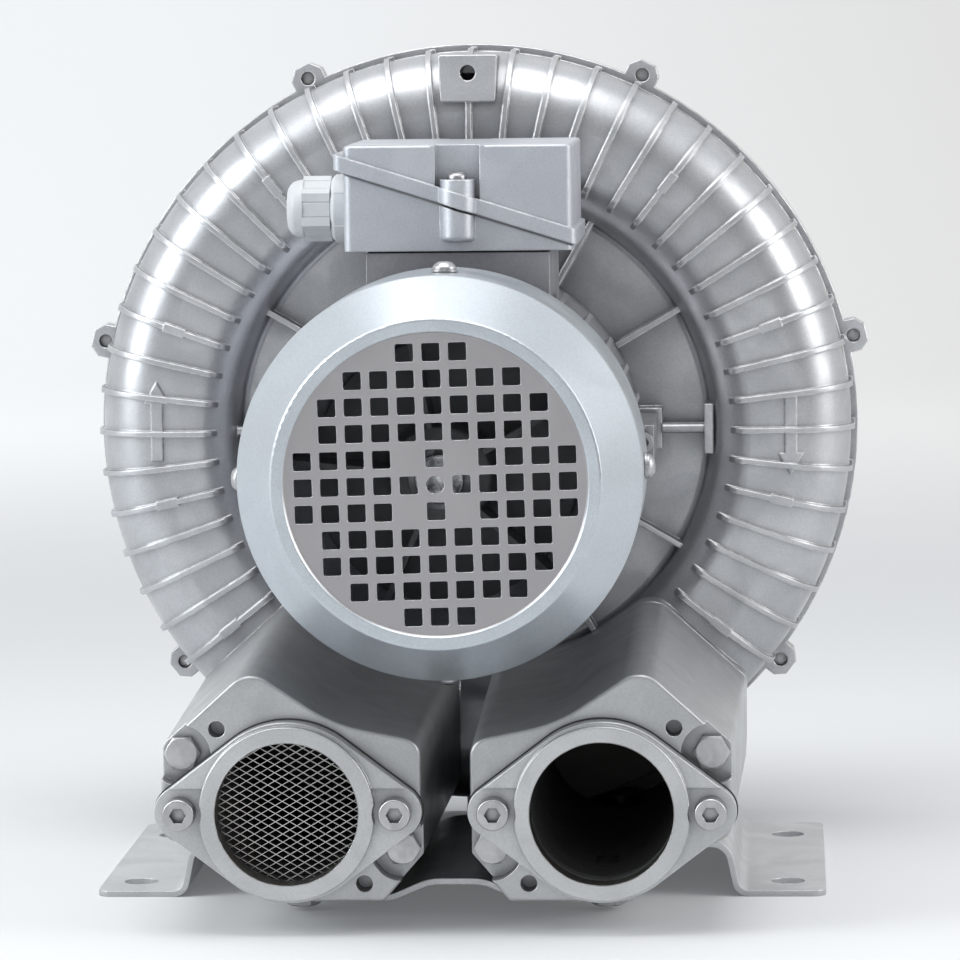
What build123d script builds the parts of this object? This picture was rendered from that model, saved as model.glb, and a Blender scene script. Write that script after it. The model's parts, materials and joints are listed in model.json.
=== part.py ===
from build123d import *

import os
from math import atan2, cos, degrees, radians, sin, tan

# Side channel blower: a cast ribbed ring casing carried by two silencers and a bent base
# sheet, with a direct-drive motor in front of it. Millimetres, +Z up. The origin is the
# centre of the foot-hole pattern on the floor. The shaft runs along Y; the ports and the
# fan cowl look towards -Y.

# ------------------------------------------------------------------ driving dimensions
shaft_height = 186.0
run_gap = 0.5  # between turning and standing parts
fit_gap = 0.03  # radial clearance of a fitted bore
thread_gap = 0.06  # radial clearance that stands for a thread

# ring casing
joint_y = 91.0  # parting plane of casing and cover
rim_radius = 170.5
rim_thickness = 8.0
tube_radius = 167.2
tube_depth = 52.0  # parting plane to the front of the ring
tube_corner = 26.0
tube_inner_corner = 18.0
casing_wall = 4.5
barrel_gap = 0.3
recess_radius = 105.0
recess_depth = 23.0
web_thickness = 5.0
hub_radius = 34.0
hub_front_reach = 18.0
hub_back_reach = 9.0
rib_pitch = 360.0 / 56
rib_thickness = 2.4
rib_height = 3.4
rib_side_height = 1.8
rib_end_reach = 5.0  # inner end of a rib, from its foot to its full height
rib_start_radius = 112.0
last_side_rib = 6  # ribs below the horizontal before the silencer begins
ejector_pad_length = 10.0
ejector_pad_thickness = 3.8
web_rib_thickness = 2.4
main_web_rib_thickness = 4.6
web_rib_height = 10.0
wall_pad_width = 22.0
wall_pad_reach = 2.8
lug_count = 7
lug_circle_radius = 173.0
lug_width = 14.6
lug_tip = 6.0
lug_counterbore_radius = 7.0
lug_screw_end = 3.5  # below the front of its lug
lug_start_angle = 270.0
arrow_length = 35.0
arrow_head_width = 11.0
arrow_shaft_width = 5.2
arrow_height = 1.2
arrow_radius = 140.4
arrow_lifts = ((-1, 5.6), (1, -2.2))  # side and height over the shaft

# lifting block on top of the ring
lift_block_width = 25.8
lift_block_height = 20.4
lift_block_top = 352.2
lift_block_front = 33.0
lift_hole_depth = 18.0
lift_hole_lift = 2.4

# metric hardware
m4_radius = 2.0
m5_radius = 2.5
m6_radius = 3.0
m8_radius = 4.0
m10_radius = 5.0
m8_tap_radius = 3.4
m5_cap_head = 8.5
m5_socket = 4.0
m6_hex = 10.0
m6_hex_height = 4.0
m8_cap_head = 13.0
m8_socket = 6.0
m8_hex = 13.0
m8_hex_height = 5.3
m10_hex = 16.0
m10_hex_height = 6.4
hex_chamfer_angle = 30.0
hex_face_share = 0.95  # flat end of a hexagon head

# cover and impeller
cover_flange_thickness = 6.0
cover_depth = 52.0
cover_dish_depth = 22.0
impeller_half_width = 12.0
impeller_web_thickness = 6.0
impeller_hub_radius = 24.0
impeller_hub_half_length = 13.0
impeller_vane_count = 45
vane_thickness = 2.6
vane_root_radius = 115.0
vane_pocket_depth = 10.0
channel_inner_radius = 109.5
interrupter_angle = 36.0
impeller_washer_thickness = 2.5
impeller_screw_depth = 24.0

# shaft, bearings and motor
bearing_bore = 25.0
bearing_outer = 52.0
bearing_width = 15.0
bearing_race = 4.2
ball_count = 9
shaft_core_radius = 17.0
drive_bearing_y = 47.0
impeller_seat_radius = 12.0
key_width = 8.0
key_height = 7.0
key_length = 18.0
seal_outer_radius = 21.0
seal_width = 7.0
barrel_radius = 73.0
barrel_wall = 4.0
barrel_front_y = -112.0
fin_tip_radius = 78.0
fin_count = 36
fin_thickness = 2.2
fin_length = 94.0
core_start_y = -90.0
core_length = 85.0
air_gap = 0.6
rotor_radius = 44.0
slot_count = 24
slot_width = 4.6
slot_depth = 14.0
end_turn_length = 17.0
ear_reach = 8.5
ear_width = 14.0
ear_pad_width = 18.0
ear_fronts = ((0, -14.0), (90, 30.0), (180, -14.0), (270, -14.0))  # angle and Y
shield_thickness = 8.0
shield_screw_radius = 1.6
shield_screw_angles = (45, 135, 225, 315)
prong_width = 15.0
prong_thickness = 6.5
prong_end = 7.0  # from the screw to the prong's tip

# fan and cowl
cowl_rim_y = -173.0
cowl_rim_radius = 81.5
cowl_face_y = -198.0
cowl_face_radius = 65.6
cowl_back_y = -114.0
cowl_wall = 1.8
grille_radius = 61.0
grille_step = 1.0
grille_pitch = 10.5
grille_hole = 7.2
grille_turn = 1.3
grille_rows = (5, 5, 4, 4, 3, 1)  # outermost hole in each row, from the middle row out
cowl_screw_y = -153.0
cowl_screw_angles = (2.0, 88.8, 181.0, 271.0)
fan_radius = 68.0
fan_depth = 28.0
fan_disc_y = -140.0
fan_blade_count = 5
fan_blade_thickness = 2.4
fan_hub_radius = 22.0
fan_seat_radius = 10.0
blade_start_angle = 30.0

# terminal box
box_x = 2.4
box_width = 95.4
box_front_y = -80.0
box_depth = 94.0
box_floor_z = 272.2
box_top_z = 316.3
box_wall = 3.0
box_corner = 3.5
split_left_z = 305.5
split_right_z = 273.4
split_gasket = 1.0
lid_rim_reach = 2.85
lid_rim_shift = -1.2
lid_rim_end_reach = 2.0
lid_rim_height = 6.4
lid_slot_width = 18.6
lid_slot_depth = 6.5
lid_boss_radius = 7.3
lid_boss_rounding = 2.4
lid_boss_top = 302.0
base_boss_z = 276.0
lid_screw_head = 8.0
lid_screw_head_height = 2.8
lid_screw_slot = 1.1
pedestal_x = 1.8
pedestal_width = 76.8
pedestal_front_y = -74.0
pedestal_depth = 84.0
pedestal_gasket = 1.0
gland_y = -33.0
gland_z = 288.4
gland_bore_radius = 8.0
gland_flat_angle = 30.0
gland_thread_radius = 10.0
gland_hex = 24.2
gland_collar_length = 10.7
gland_cap_length = 10.2
gland_dome_length = 6.8
gland_groove_pitch = 1.7
gland_groove_count = 7
gland_groove_width = 0.6
gland_groove_depth = 0.3

# silencers and ports
port_x = 63.5
port_z = 50.5
port_radius = 29.0
port_collar_radius = 35.6
port_collar_reach = 4.0
flange_thickness = 7.6
flange_pad_drop = 1.8
flange_pad_top = 10.0
flange_body_radius = 37.0
flange_lug_radius = 10.5
flange_screw_reach = 43.75
spot_face_radius = 9.2
flange_gasket_thickness = 1.0
silencer_front_y = -162.0
silencer_front_wall = 12.0
silencer_back_y = 29.0
silencer_wall = 5.0
silencer_draft = 4.4
silencer_gasket_thickness = 1.0
silencer_edge = 1.4
silencer_outer_reach = 52.0
silencer_outer_low_z = 39.5
silencer_outer_high_z = 76.0
silencer_peak = (79.6, 108.3)
silencer_saddle = (45.0, 85.5)
silencer_inner_x = 10.0
silencer_inner_high_z = 78.4
silencer_inner_low_z = 31.0
silencer_bottom_x = 25.5
stub_back_wall = 7.0
bottom_radius = 37.7
pocket_radius = 12.5
pocket_depth = 10.0
column_radius = 9.0
outer_bolt = (107.6, 72.8)
inner_bolt = (18.2, 33.8)
upper_tap = (92.6, 83.5)
lower_tap = (33.4, 20.2)
tap_depth = 10.0
passage_radius = 21.0
passage_x = 80.0
passage_z = 82.0
bolt_shank_gap = 0.5
screen_seat_depth = 1.6
screen_wire = 0.42
screen_pitch = 2.9
screen_angle = 30.0
screen_rim = 1.6
foam_gap = 0.3
foam_bore_radius = 30.0

# base sheet
sheet_thickness = 2.5
foot_outer_x = 154.0
foot_front_y = -82.0
foot_back_y = 90.0
foot_bend_x = 116.0
riser_top_x = 111.5
riser_top_z = 21.0
shoulder_x = 99.0
cradle_x = 86.0
cradle_z = 7.5
hump_x = 2.0
hump_foot_reach = 27.0
hump_top_reach = 11.0
hump_top_z = 14.5
hump_bend_radius = 20.0
tongue_x = 74.0
cradle_front_y = -133.0
cradle_back_y = 78.0
hump_back_y = 25.0
bend_radius = 7.0
foot_hole_x = 276.0
foot_hole_y = 117.0
foot_hole_radius = 7.25
foot_corner = 6.0
base_screw_ys = (-110.0, 56.0)

# ---------------------------------------------------------------------- derived places
tube_front_y = joint_y - tube_depth
web_front_y = tube_front_y + recess_depth
web_back_y = web_front_y + web_thickness
hub_front_y = web_front_y - hub_front_reach
hub_back_y = web_back_y + hub_back_reach
channel_outer_radius = tube_radius - casing_wall
impeller_radius = channel_outer_radius - 2 * run_gap
cover_back_y = joint_y + cover_depth
cover_dish_y = cover_back_y - cover_dish_depth
bearing_seat_radius = bearing_outer / 2
journal_radius = bearing_bore / 2
drive_bearing_end = drive_bearing_y + bearing_width
barrel_inner_radius = barrel_radius - barrel_wall
core_end_y = core_start_y + core_length
rear_bearing_end = barrel_front_y - run_gap
rear_bearing_y = rear_bearing_end - bearing_width
box_back_y = box_front_y + box_depth
box_left = box_x - box_width / 2
pedestal_top_z = box_floor_z - pedestal_gasket
stub_front_y = silencer_back_y + silencer_gasket_thickness
stub_back_y = joint_y - rim_thickness
flange_back_y = silencer_front_y - flange_gasket_thickness
flange_front_y = flange_back_y - flange_thickness
cradle_top_z = cradle_z + sheet_thickness
ear_angles = [angle for angle, ear_y in ear_fronts]
lug_angles = [lug_start_angle + k * 360 / lug_count for k in range(lug_count)]
ear_screw_radius = barrel_radius + ear_reach / 2
shaft_axis = Axis((0, 0, shaft_height), (0, 1, 0))


# ------------------------------------------------------------------------------ planes
def front_plane(y, x=0.0, z=0.0):
    """Plane square to the shaft, local x to the right, local y up, normal to the front."""
    return Plane(origin=(x, y, z), x_dir=(1, 0, 0), z_dir=(0, -1, 0))


def axial_plane(angle=90.0):
    """Plane through the shaft axis, local x along +Y, local y the radius at the angle."""
    normal = (sin(radians(angle)), 0, -cos(radians(angle)))
    return Plane(origin=(0, 0, shaft_height), x_dir=(0, 1, 0), z_dir=normal)


def radial_plane(angle, y, reach=0.0):
    """Plane at a reach from the shaft axis, its normal pointing outwards at the angle."""
    out = Vector(cos(radians(angle)), 0, sin(radians(angle)))
    return Plane(origin=Vector(0, y, shaft_height) + out * reach, x_dir=(0, 1, 0), z_dir=out)


def round_shaft(angles, y=0.0, radius=0.0):
    """Locations round the shaft, local x pointing outwards and local z to the front."""
    centre = front_plane(y, z=shaft_height).location
    return [centre * Location((0, 0, 0), (0, 0, a)) * Location((radius, 0, 0)) for a in angles]


# --------------------------------------------------------------------------- operations
def turn(points, radii=0.0, mode=Mode.ADD, start=90.0, arc=360.0):
    """Revolve a closed (axial, radial) outline about the shaft in the current part."""
    with BuildSketch(axial_plane(start)) as section:
        with BuildLine():
            FilletPolyline(*points, radius=radii, close=True)
        make_face()
    revolve(section.sketch, axis=shaft_axis, revolution_arc=arc, mode=mode)


def ring(y0, y1, inner, outer, mode=Mode.ADD):
    """Plain ring between two axial stations and two radii."""
    turn([(y0, inner), (y1, inner), (y1, outer), (y0, outer)], mode=mode)


def rod(y0, y1, radius, x=0.0, z=0.0, mode=Mode.ADD):
    """Round bar along Y from y0 to y1, centred at x and z."""
    with BuildSketch(front_plane(y1, x, z)) as disc:
        Circle(radius)
    extrude(disc.sketch, amount=y1 - y0, mode=mode)


def hex_bar(y0, y1, across_flats, x=0.0, z=0.0, mode=Mode.ADD):
    """Hexagonal bar along Y with a flat to the top."""
    with BuildSketch(front_plane(y1, x, z)) as hexagon:
        RegularPolygon(across_flats / 2, 6, major_radius=False)
    extrude(hexagon.sketch, amount=y1 - y0, mode=mode)


def hex_head(across_flats, height):
    """Hexagon head on the local XY plane, its outer face chamfered by turning."""
    corner = across_flats / 2 / cos(radians(30)) + run_gap
    face = hex_face_share * across_flats / 2
    with BuildPart() as head:
        with BuildSketch() as hexagon:
            RegularPolygon(across_flats / 2, 6, major_radius=False)
        extrude(hexagon.sketch, amount=height)
        with BuildSketch(Plane.XZ) as envelope:
            with BuildLine():
                Polyline(
                    (0, 0),
                    (corner, 0),
                    (corner, height - (corner - face) * tan(radians(hex_chamfer_angle))),
                    (face, height),
                    (0, height),
                    close=True,
                )
            make_face()
        revolve(envelope.sketch, axis=Axis.Z, mode=Mode.INTERSECT)
    return head.part


def block(x0, x1, y0, y1, z0, z1, mode=Mode.ADD):
    """Box between two corners."""
    with BuildSketch(front_plane(y1, (x0 + x1) / 2, (z0 + z1) / 2)) as face:
        Rectangle(x1 - x0, z1 - z0)
    extrude(face.sketch, amount=y1 - y0, mode=mode)


def upright(z0, z1, radius, x, y, mode=Mode.ADD):
    """Round bar along Z from z0 to z1."""
    with BuildSketch(Plane((x, y, z0))) as disc:
        Circle(radius)
    extrude(disc.sketch, amount=z1 - z0, mode=mode)


def turned_post(points, radii, x, y, mode=Mode.ADD):
    """Turn a (radius, height) outline about an upright axis at x and y."""
    with BuildSketch(front_plane(y, x)) as section:
        with BuildLine():
            FilletPolyline(*points, radius=radii, close=True)
        make_face()
    revolve(section.sketch, axis=Axis((x, y, 0), (0, 0, 1)), mode=mode)


def silencer_profile(side, y, grow=0.0, drop=0.0):
    """Face of the silencer outline at y; grow widens its sides and drop its underside."""
    low = bottom_radius + drop
    corner = (port_x + low * cos(radians(-30)), port_z + low * sin(radians(-30)))
    middle = (port_x + low * cos(radians(-60)), port_z + low * sin(radians(-60)))
    outer_x = port_x + silencer_outer_reach + grow
    inner_x = silencer_inner_x - 0.6 * grow
    points = [
        corner,
        (outer_x, silencer_outer_low_z),
        (outer_x, silencer_outer_high_z + 0.42 * grow),
        (silencer_peak[0], silencer_peak[1] + 1.38 * grow),
        (silencer_saddle[0], silencer_saddle[1] + 1.1 * grow),
        (inner_x, silencer_inner_high_z + grow),
        (inner_x, silencer_inner_low_z - 0.4 * drop),
        (silencer_bottom_x, port_z - low),
        (port_x, port_z - low),
    ]
    with BuildSketch(front_plane(y)) as profile:
        with BuildLine():
            FilletPolyline(*[(side * px, pz) for px, pz in points], radius=[6, 4, 12, 60, 8, 2, 2])
            ThreePointArc((side * port_x, port_z - low), (side * middle[0], middle[1]),
                          (side * corner[0], corner[1]))
        make_face()
    return profile


def profile_slab(side, y0, y1, grow=0.0, drop=0.0, mode=Mode.ADD):
    """Silencer outline carried straight from y0 to y1."""
    extrude(silencer_profile(side, y1, grow, drop).sketch, amount=y1 - y0, mode=mode)


# ------------------------------------------------------------------------------- casing
rib_front_y = tube_front_y - rib_height
rib_outer_radius = tube_radius + rib_side_height
side_ribs = [k * rib_pitch for k in range(-last_side_rib, 28 + last_side_rib + 1)]


def ring_rib(front_y, back_y, facing):
    """One radial rib in the local frame of round_shaft; facing is the side it stands on."""
    span = abs(back_y - front_y)
    root = rib_height + 1.5
    inner_root = root + tube_inner_corner / 4
    with BuildPart() as rib:
        with BuildSketch(Plane.XZ) as rib_side:
            with BuildLine():
                FilletPolyline(
                    (rib_start_radius, facing * inner_root),
                    (rib_start_radius + rib_end_reach, 0),
                    (rib_outer_radius, 0),
                    (rib_outer_radius, facing * span),
                    (tube_radius - 1.5, facing * span),
                    (tube_radius - 1.5, facing * root),
                    (rib_start_radius + tube_inner_corner, facing * root),
                    radius=[0, rib_end_reach, tube_corner + 1, 0, 0, tube_corner - 2, 0],
                    close=True,
                )
            make_face()
        extrude(rib_side.sketch, amount=rib_thickness / 2, both=True)
    return rib.part


def lug_plate(thickness):
    """One screw lug in the local frame of round_shaft, its face in the local XY plane."""
    root = tube_radius - 1.5 - lug_circle_radius
    with BuildPart() as lug:
        with BuildSketch(Plane.XY) as tab:
            with BuildLine():
                Polyline(
                    (root, -lug_width / 2),
                    (lug_tip / 3, -lug_width / 2),
                    (lug_tip, -lug_width / 4),
                    (lug_tip, lug_width / 4),
                    (lug_tip / 3, lug_width / 2),
                    (root, lug_width / 2),
                    close=True,
                )
            make_face()
        extrude(tab.sketch, amount=-thickness)
    return lug.part


def flow_arrow(side, lift):
    """Raised flow arrow on the ring: up on the left, down on the right."""
    head = arrow_head_width * sin(radians(60))
    shaft = arrow_length - head
    with BuildSketch(front_plane(tube_front_y + 0.5, side * arrow_radius, shaft_height + lift)) as arrow:
        with Locations((0, side * head / 2)):
            Rectangle(arrow_shaft_width, shaft)
        with Locations((0, -side * shaft / 2)):
            Triangle(a=arrow_head_width, b=arrow_head_width, c=arrow_head_width, rotation=90 * (1 + side),
                     align=(Align.CENTER, Align.CENTER))
    extrude(arrow.sketch, amount=arrow_height + 0.5)


with BuildPart() as channel_casing:
    turn(
        [
            (joint_y, 0.0),
            (joint_y, rim_radius),
            (stub_back_y, rim_radius),
            (stub_back_y, tube_radius),
            (tube_front_y, tube_radius),
            (tube_front_y, recess_radius),
            (web_front_y, recess_radius),
            (web_front_y, hub_radius),
            (hub_front_y, hub_radius),
            (hub_front_y, 0.0),
        ],
        radii=[0, 0, 0, 0, tube_corner, tube_inner_corner, 3, 0, 2, 0],
    )
    with Locations(*round_shaft(side_ribs, rib_front_y)):
        add(ring_rib(rib_front_y, stub_back_y, -1))
    with Locations(*round_shaft(lug_angles, stub_back_y, lug_circle_radius)):
        add(lug_plate(rim_thickness))
    # twelve web ribs, the pads that take the motor ears and one pad on the recess wall
    with BuildSketch(front_plane(web_front_y + 1, z=shaft_height)) as web_ribs:
        with PolarLocations((barrel_radius + recess_radius + 2) / 2, 12):
            Rectangle(recess_radius + 2 - barrel_radius, web_rib_thickness)
        with PolarLocations(ear_screw_radius + 1, 4):
            Rectangle(ear_reach + 2, ear_pad_width)
        Circle(barrel_radius + barrel_gap, mode=Mode.SUBTRACT)
    extrude(web_ribs.sketch, amount=web_rib_height + 1)
    # the ribs in line with the ears have a thick round crest
    crest_start = ear_screw_radius + 1 + (ear_reach + 2) / 2
    for angle in ear_angles:
        with BuildSketch(radial_plane(angle, web_front_y - web_rib_height, crest_start)) as crest:
            Circle(main_web_rib_thickness / 2)
        extrude(crest.sketch, amount=recess_radius + 1 - crest_start)
    with Locations(*round_shaft([0], web_front_y, recess_radius - wall_pad_reach)):
        Box(wall_pad_reach + 1, wall_pad_width, recess_depth - tube_inner_corner / 2,
            align=(Align.MIN, Align.CENTER, Align.MIN))
    # stubs that carry the silencers, and the arrows
    for side, lift in arrow_lifts:
        profile_slab(side, stub_front_y, stub_back_y, silencer_draft)
        flow_arrow(side, lift)
    # thickened spots in the middle of some ribs
    spot_angles = [k * rib_pitch for k in (8, 3, -2, -6, 20, 25, 30, 34)]
    with Locations(*round_shaft(spot_angles, rib_front_y, (rib_start_radius + tube_radius) / 2)):
        Box(ejector_pad_length, ejector_pad_thickness, 2 * rib_height - 0.6,
            align=(Align.CENTER, Align.CENTER, Align.MAX))
    # lifting block
    lift_block_z = lift_block_top - lift_block_height / 2
    with BuildSketch(front_plane(lift_block_front, z=lift_block_z)) as lift_face:
        Trapezoid(lift_block_width, lift_block_height, 87.5, rotation=180)
        fillet(lift_face.vertices(), 1.2)
    extrude(lift_face.sketch, amount=lift_block_front - stub_back_y)
    # impeller chamber, side channel and the openings into the silencers
    turn([(web_back_y, 0.0), (web_back_y, recess_radius), (joint_y, recess_radius), (joint_y, 0.0)],
         mode=Mode.SUBTRACT)
    ring(web_back_y - 1, hub_back_y, 0.0, hub_radius - 6)
    ring(joint_y - impeller_half_width - run_gap, joint_y, hub_radius, channel_outer_radius,
         mode=Mode.SUBTRACT)
    turn(
        [
            (joint_y - impeller_half_width - run_gap + 1, channel_inner_radius),
            (tube_front_y + casing_wall, channel_inner_radius),
            (tube_front_y + casing_wall, channel_outer_radius),
            (joint_y - impeller_half_width - run_gap + 1, channel_outer_radius),
        ],
        radii=[0, 14, tube_corner - casing_wall, 0],
        mode=Mode.SUBTRACT,
    )
    # solid interrupter between outlet and inlet
    turn(
        [
            (joint_y - impeller_half_width - run_gap, channel_inner_radius - 2),
            (tube_front_y + 2, channel_inner_radius - 2),
            (tube_front_y + 2, channel_outer_radius + 2),
            (joint_y - impeller_half_width - run_gap, channel_outer_radius + 2),
        ],
        radii=[0, 14, tube_corner - 2, 0],
        start=270 + interrupter_angle / 2,
        arc=interrupter_angle,
    )
    for side in (-1, 1):
        rod(stub_front_y, web_front_y, passage_radius, side * passage_x, passage_z, mode=Mode.SUBTRACT)
        with BuildSketch(front_plane(stub_back_y - stub_back_wall)) as hollow:
            add(silencer_profile(side, 0, silencer_draft - silencer_wall, -silencer_wall).sketch_local)
            with Locations((0, shaft_height)):
                Circle(tube_radius + 3, mode=Mode.SUBTRACT)
            with Locations((side * inner_bolt[0], inner_bolt[1])):
                Circle(column_radius, mode=Mode.SUBTRACT)
        extrude(hollow.sketch, amount=stub_back_y - stub_back_wall - stub_front_y, mode=Mode.SUBTRACT)
        upright(cradle_top_z, port_z - bottom_radius + 9, column_radius, side * port_x, base_screw_ys[1])
        upright(cradle_top_z, port_z - bottom_radius + 5, m8_radius + thread_gap, side * port_x,
                base_screw_ys[1], mode=Mode.SUBTRACT)
        for bolt in (outer_bolt, inner_bolt):
            rod(stub_front_y, stub_front_y + 13, m8_radius + thread_gap, side * bolt[0], bolt[1],
                mode=Mode.SUBTRACT)
    # bearing seat, shaft passage and seal seat
    ring(hub_front_y, drive_bearing_end, 0.0, bearing_seat_radius + fit_gap, mode=Mode.SUBTRACT)
    ring(drive_bearing_end, hub_back_y, 0.0, impeller_seat_radius + 5, mode=Mode.SUBTRACT)
    ring(hub_back_y - seal_width, hub_back_y, 0.0, seal_outer_radius + fit_gap, mode=Mode.SUBTRACT)
    # screw holes of the lugs, the motor ears and the lifting block
    with Locations(*round_shaft(lug_angles, joint_y, lug_circle_radius)):
        Cylinder(m6_radius + thread_gap, rim_thickness, align=(Align.CENTER, Align.CENTER, Align.MIN),
                 mode=Mode.SUBTRACT)
    with Locations(*round_shaft(ear_angles, web_back_y - 1, ear_screw_radius)):
        Cylinder(m5_radius + thread_gap, web_rib_height + web_thickness,
                 align=(Align.CENTER, Align.CENTER, Align.MIN), mode=Mode.SUBTRACT)
    rod(lift_block_front, lift_block_front + lift_hole_depth, m8_tap_radius, 0.0,
        lift_block_z + lift_hole_lift, mode=Mode.SUBTRACT)
channel_casing.part.label = "channel_casing"

with BuildPart() as channel_cover:
    turn(
        [
            (joint_y, 0.0),
            (joint_y, rim_radius),
            (joint_y + cover_flange_thickness, rim_radius),
            (joint_y + cover_flange_thickness, tube_radius),
            (cover_back_y, tube_radius),
            (cover_back_y, recess_radius),
            (cover_dish_y, recess_radius),
            (cover_dish_y, 0.0),
        ],
        radii=[0, 0, 0, 0, tube_corner, tube_inner_corner, 3, 0],
    )
    with Locations(*round_shaft([k * rib_pitch for k in range(56)], cover_back_y + rib_height)):
        add(ring_rib(cover_back_y + rib_height, joint_y + cover_flange_thickness, 1))
    with Locations(*round_shaft(lug_angles, joint_y, lug_circle_radius)):
        add(lug_plate(cover_flange_thickness))
    with BuildSketch(front_plane(cover_dish_y - 1, z=shaft_height)) as cover_ribs:
        with PolarLocations((hub_radius + recess_radius) / 2, 12):
            Rectangle(recess_radius - hub_radius + 4, web_rib_thickness)
        Circle(hub_radius)
    extrude(cover_ribs.sketch, amount=-web_rib_height - 1)
    turn([(joint_y, 0.0), (joint_y, recess_radius), (cover_dish_y - web_thickness, recess_radius),
          (cover_dish_y - web_thickness, 0.0)], mode=Mode.SUBTRACT)
    ring(joint_y, joint_y + impeller_half_width + run_gap, recess_radius - 5, channel_outer_radius,
         mode=Mode.SUBTRACT)
    turn(
        [
            (joint_y + impeller_half_width + run_gap - 1, channel_inner_radius),
            (cover_back_y - casing_wall, channel_inner_radius),
            (cover_back_y - casing_wall, channel_outer_radius),
            (joint_y + impeller_half_width + run_gap - 1, channel_outer_radius),
        ],
        radii=[0, 14, tube_corner - casing_wall, 0],
        mode=Mode.SUBTRACT,
    )
    turn(
        [
            (joint_y + impeller_half_width + run_gap, channel_inner_radius - 2),
            (cover_back_y - 2, channel_inner_radius - 2),
            (cover_back_y - 2, channel_outer_radius + 2),
            (joint_y + impeller_half_width + run_gap, channel_outer_radius + 2),
        ],
        radii=[0, 14, tube_corner - 2, 0],
        start=270 + interrupter_angle / 2,
        arc=interrupter_angle,
    )
    with Locations(*round_shaft(lug_angles, joint_y + cover_flange_thickness, lug_circle_radius)):
        Cylinder(m6_radius + bolt_shank_gap, cover_flange_thickness,
                 align=(Align.CENTER, Align.CENTER, Align.MIN), mode=Mode.SUBTRACT)
        Cylinder(lug_counterbore_radius, 2 * m6_hex_height,
                 align=(Align.CENTER, Align.CENTER, Align.MAX), mode=Mode.SUBTRACT)
channel_cover.part.label = "channel_cover"

with BuildPart() as cover_screws:
    for angle in lug_angles:
        screw_x = lug_circle_radius * cos(radians(angle))
        screw_z = shaft_height + lug_circle_radius * sin(radians(angle))
        head_y = joint_y + cover_flange_thickness
        rod(stub_back_y + lug_screw_end, head_y, m6_radius, screw_x, screw_z)
        with Locations(Plane((screw_x, head_y, screw_z), x_dir=(1, 0, 0), z_dir=(0, 1, 0)).location):
            add(hex_head(m6_hex, m6_hex_height))
cover_screws.part.label = "cover_screws"

# ----------------------------------------------------------------------------- impeller
hub_start_y = joint_y - impeller_hub_half_length
hub_end_y = joint_y + impeller_hub_half_length
key_top_z = shaft_height + impeller_seat_radius + key_height / 2

with BuildPart() as impeller:
    turn(
        [
            (hub_start_y, impeller_seat_radius + fit_gap),
            (hub_start_y, impeller_hub_radius),
            (joint_y - impeller_web_thickness / 2, impeller_hub_radius),
            (joint_y - impeller_web_thickness / 2, vane_root_radius - 5),
            (joint_y - impeller_half_width, vane_root_radius - 5),
            (joint_y - impeller_half_width, impeller_radius),
            (joint_y + impeller_half_width, impeller_radius),
            (joint_y + impeller_half_width, vane_root_radius - 5),
            (joint_y + impeller_web_thickness / 2, vane_root_radius - 5),
            (joint_y + impeller_web_thickness / 2, impeller_hub_radius),
            (hub_end_y, impeller_hub_radius),
            (hub_end_y, impeller_seat_radius + fit_gap),
        ],
        radii=[0, 1.5, 6, 6, 1, 0, 0, 1, 6, 6, 1.5, 0],
    )
    for inward in (-1, 1):
        face_y = joint_y + inward * impeller_half_width
        with BuildSketch(front_plane(face_y, z=shaft_height)) as pockets:
            Circle(impeller_radius + 2)
            Circle(vane_root_radius, mode=Mode.SUBTRACT)
            with PolarLocations((vane_root_radius + impeller_radius) / 2, impeller_vane_count):
                Rectangle(impeller_radius - vane_root_radius + 8, vane_thickness, mode=Mode.SUBTRACT)
        extrude(pockets.sketch, amount=inward * vane_pocket_depth, mode=Mode.SUBTRACT)
    block(-key_width / 2 - fit_gap, key_width / 2 + fit_gap, hub_start_y, hub_end_y,
          shaft_height, key_top_z + fit_gap, mode=Mode.SUBTRACT)
impeller.part.label = "impeller"

with BuildPart() as impeller_key:
    block(-key_width / 2, key_width / 2, joint_y - key_length / 2, joint_y + key_length / 2,
          key_top_z - key_height, key_top_z)
impeller_key.part.label = "impeller_key"

with BuildPart() as impeller_washer:
    ring(hub_end_y, hub_end_y + impeller_washer_thickness, m10_radius + 0.5, impeller_hub_radius - 5)
impeller_washer.part.label = "impeller_washer"

with BuildPart() as impeller_screw:
    head_y = hub_end_y + impeller_washer_thickness
    rod(hub_end_y - impeller_screw_depth, head_y, m10_radius, 0.0, shaft_height)
    with Locations(Plane((0, head_y, shaft_height), x_dir=(1, 0, 0), z_dir=(0, 1, 0)).location):
        add(hex_head(m10_hex, m10_hex_height))
impeller_screw.part.label = "impeller_screw"

# -------------------------------------------------------------------- shaft and bearings
shaft_end_y = hub_end_y - 0.5
fan_hub_front_y = fan_disc_y - fan_depth - 3
shaft_fan_end = fan_hub_front_y - 4

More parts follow.
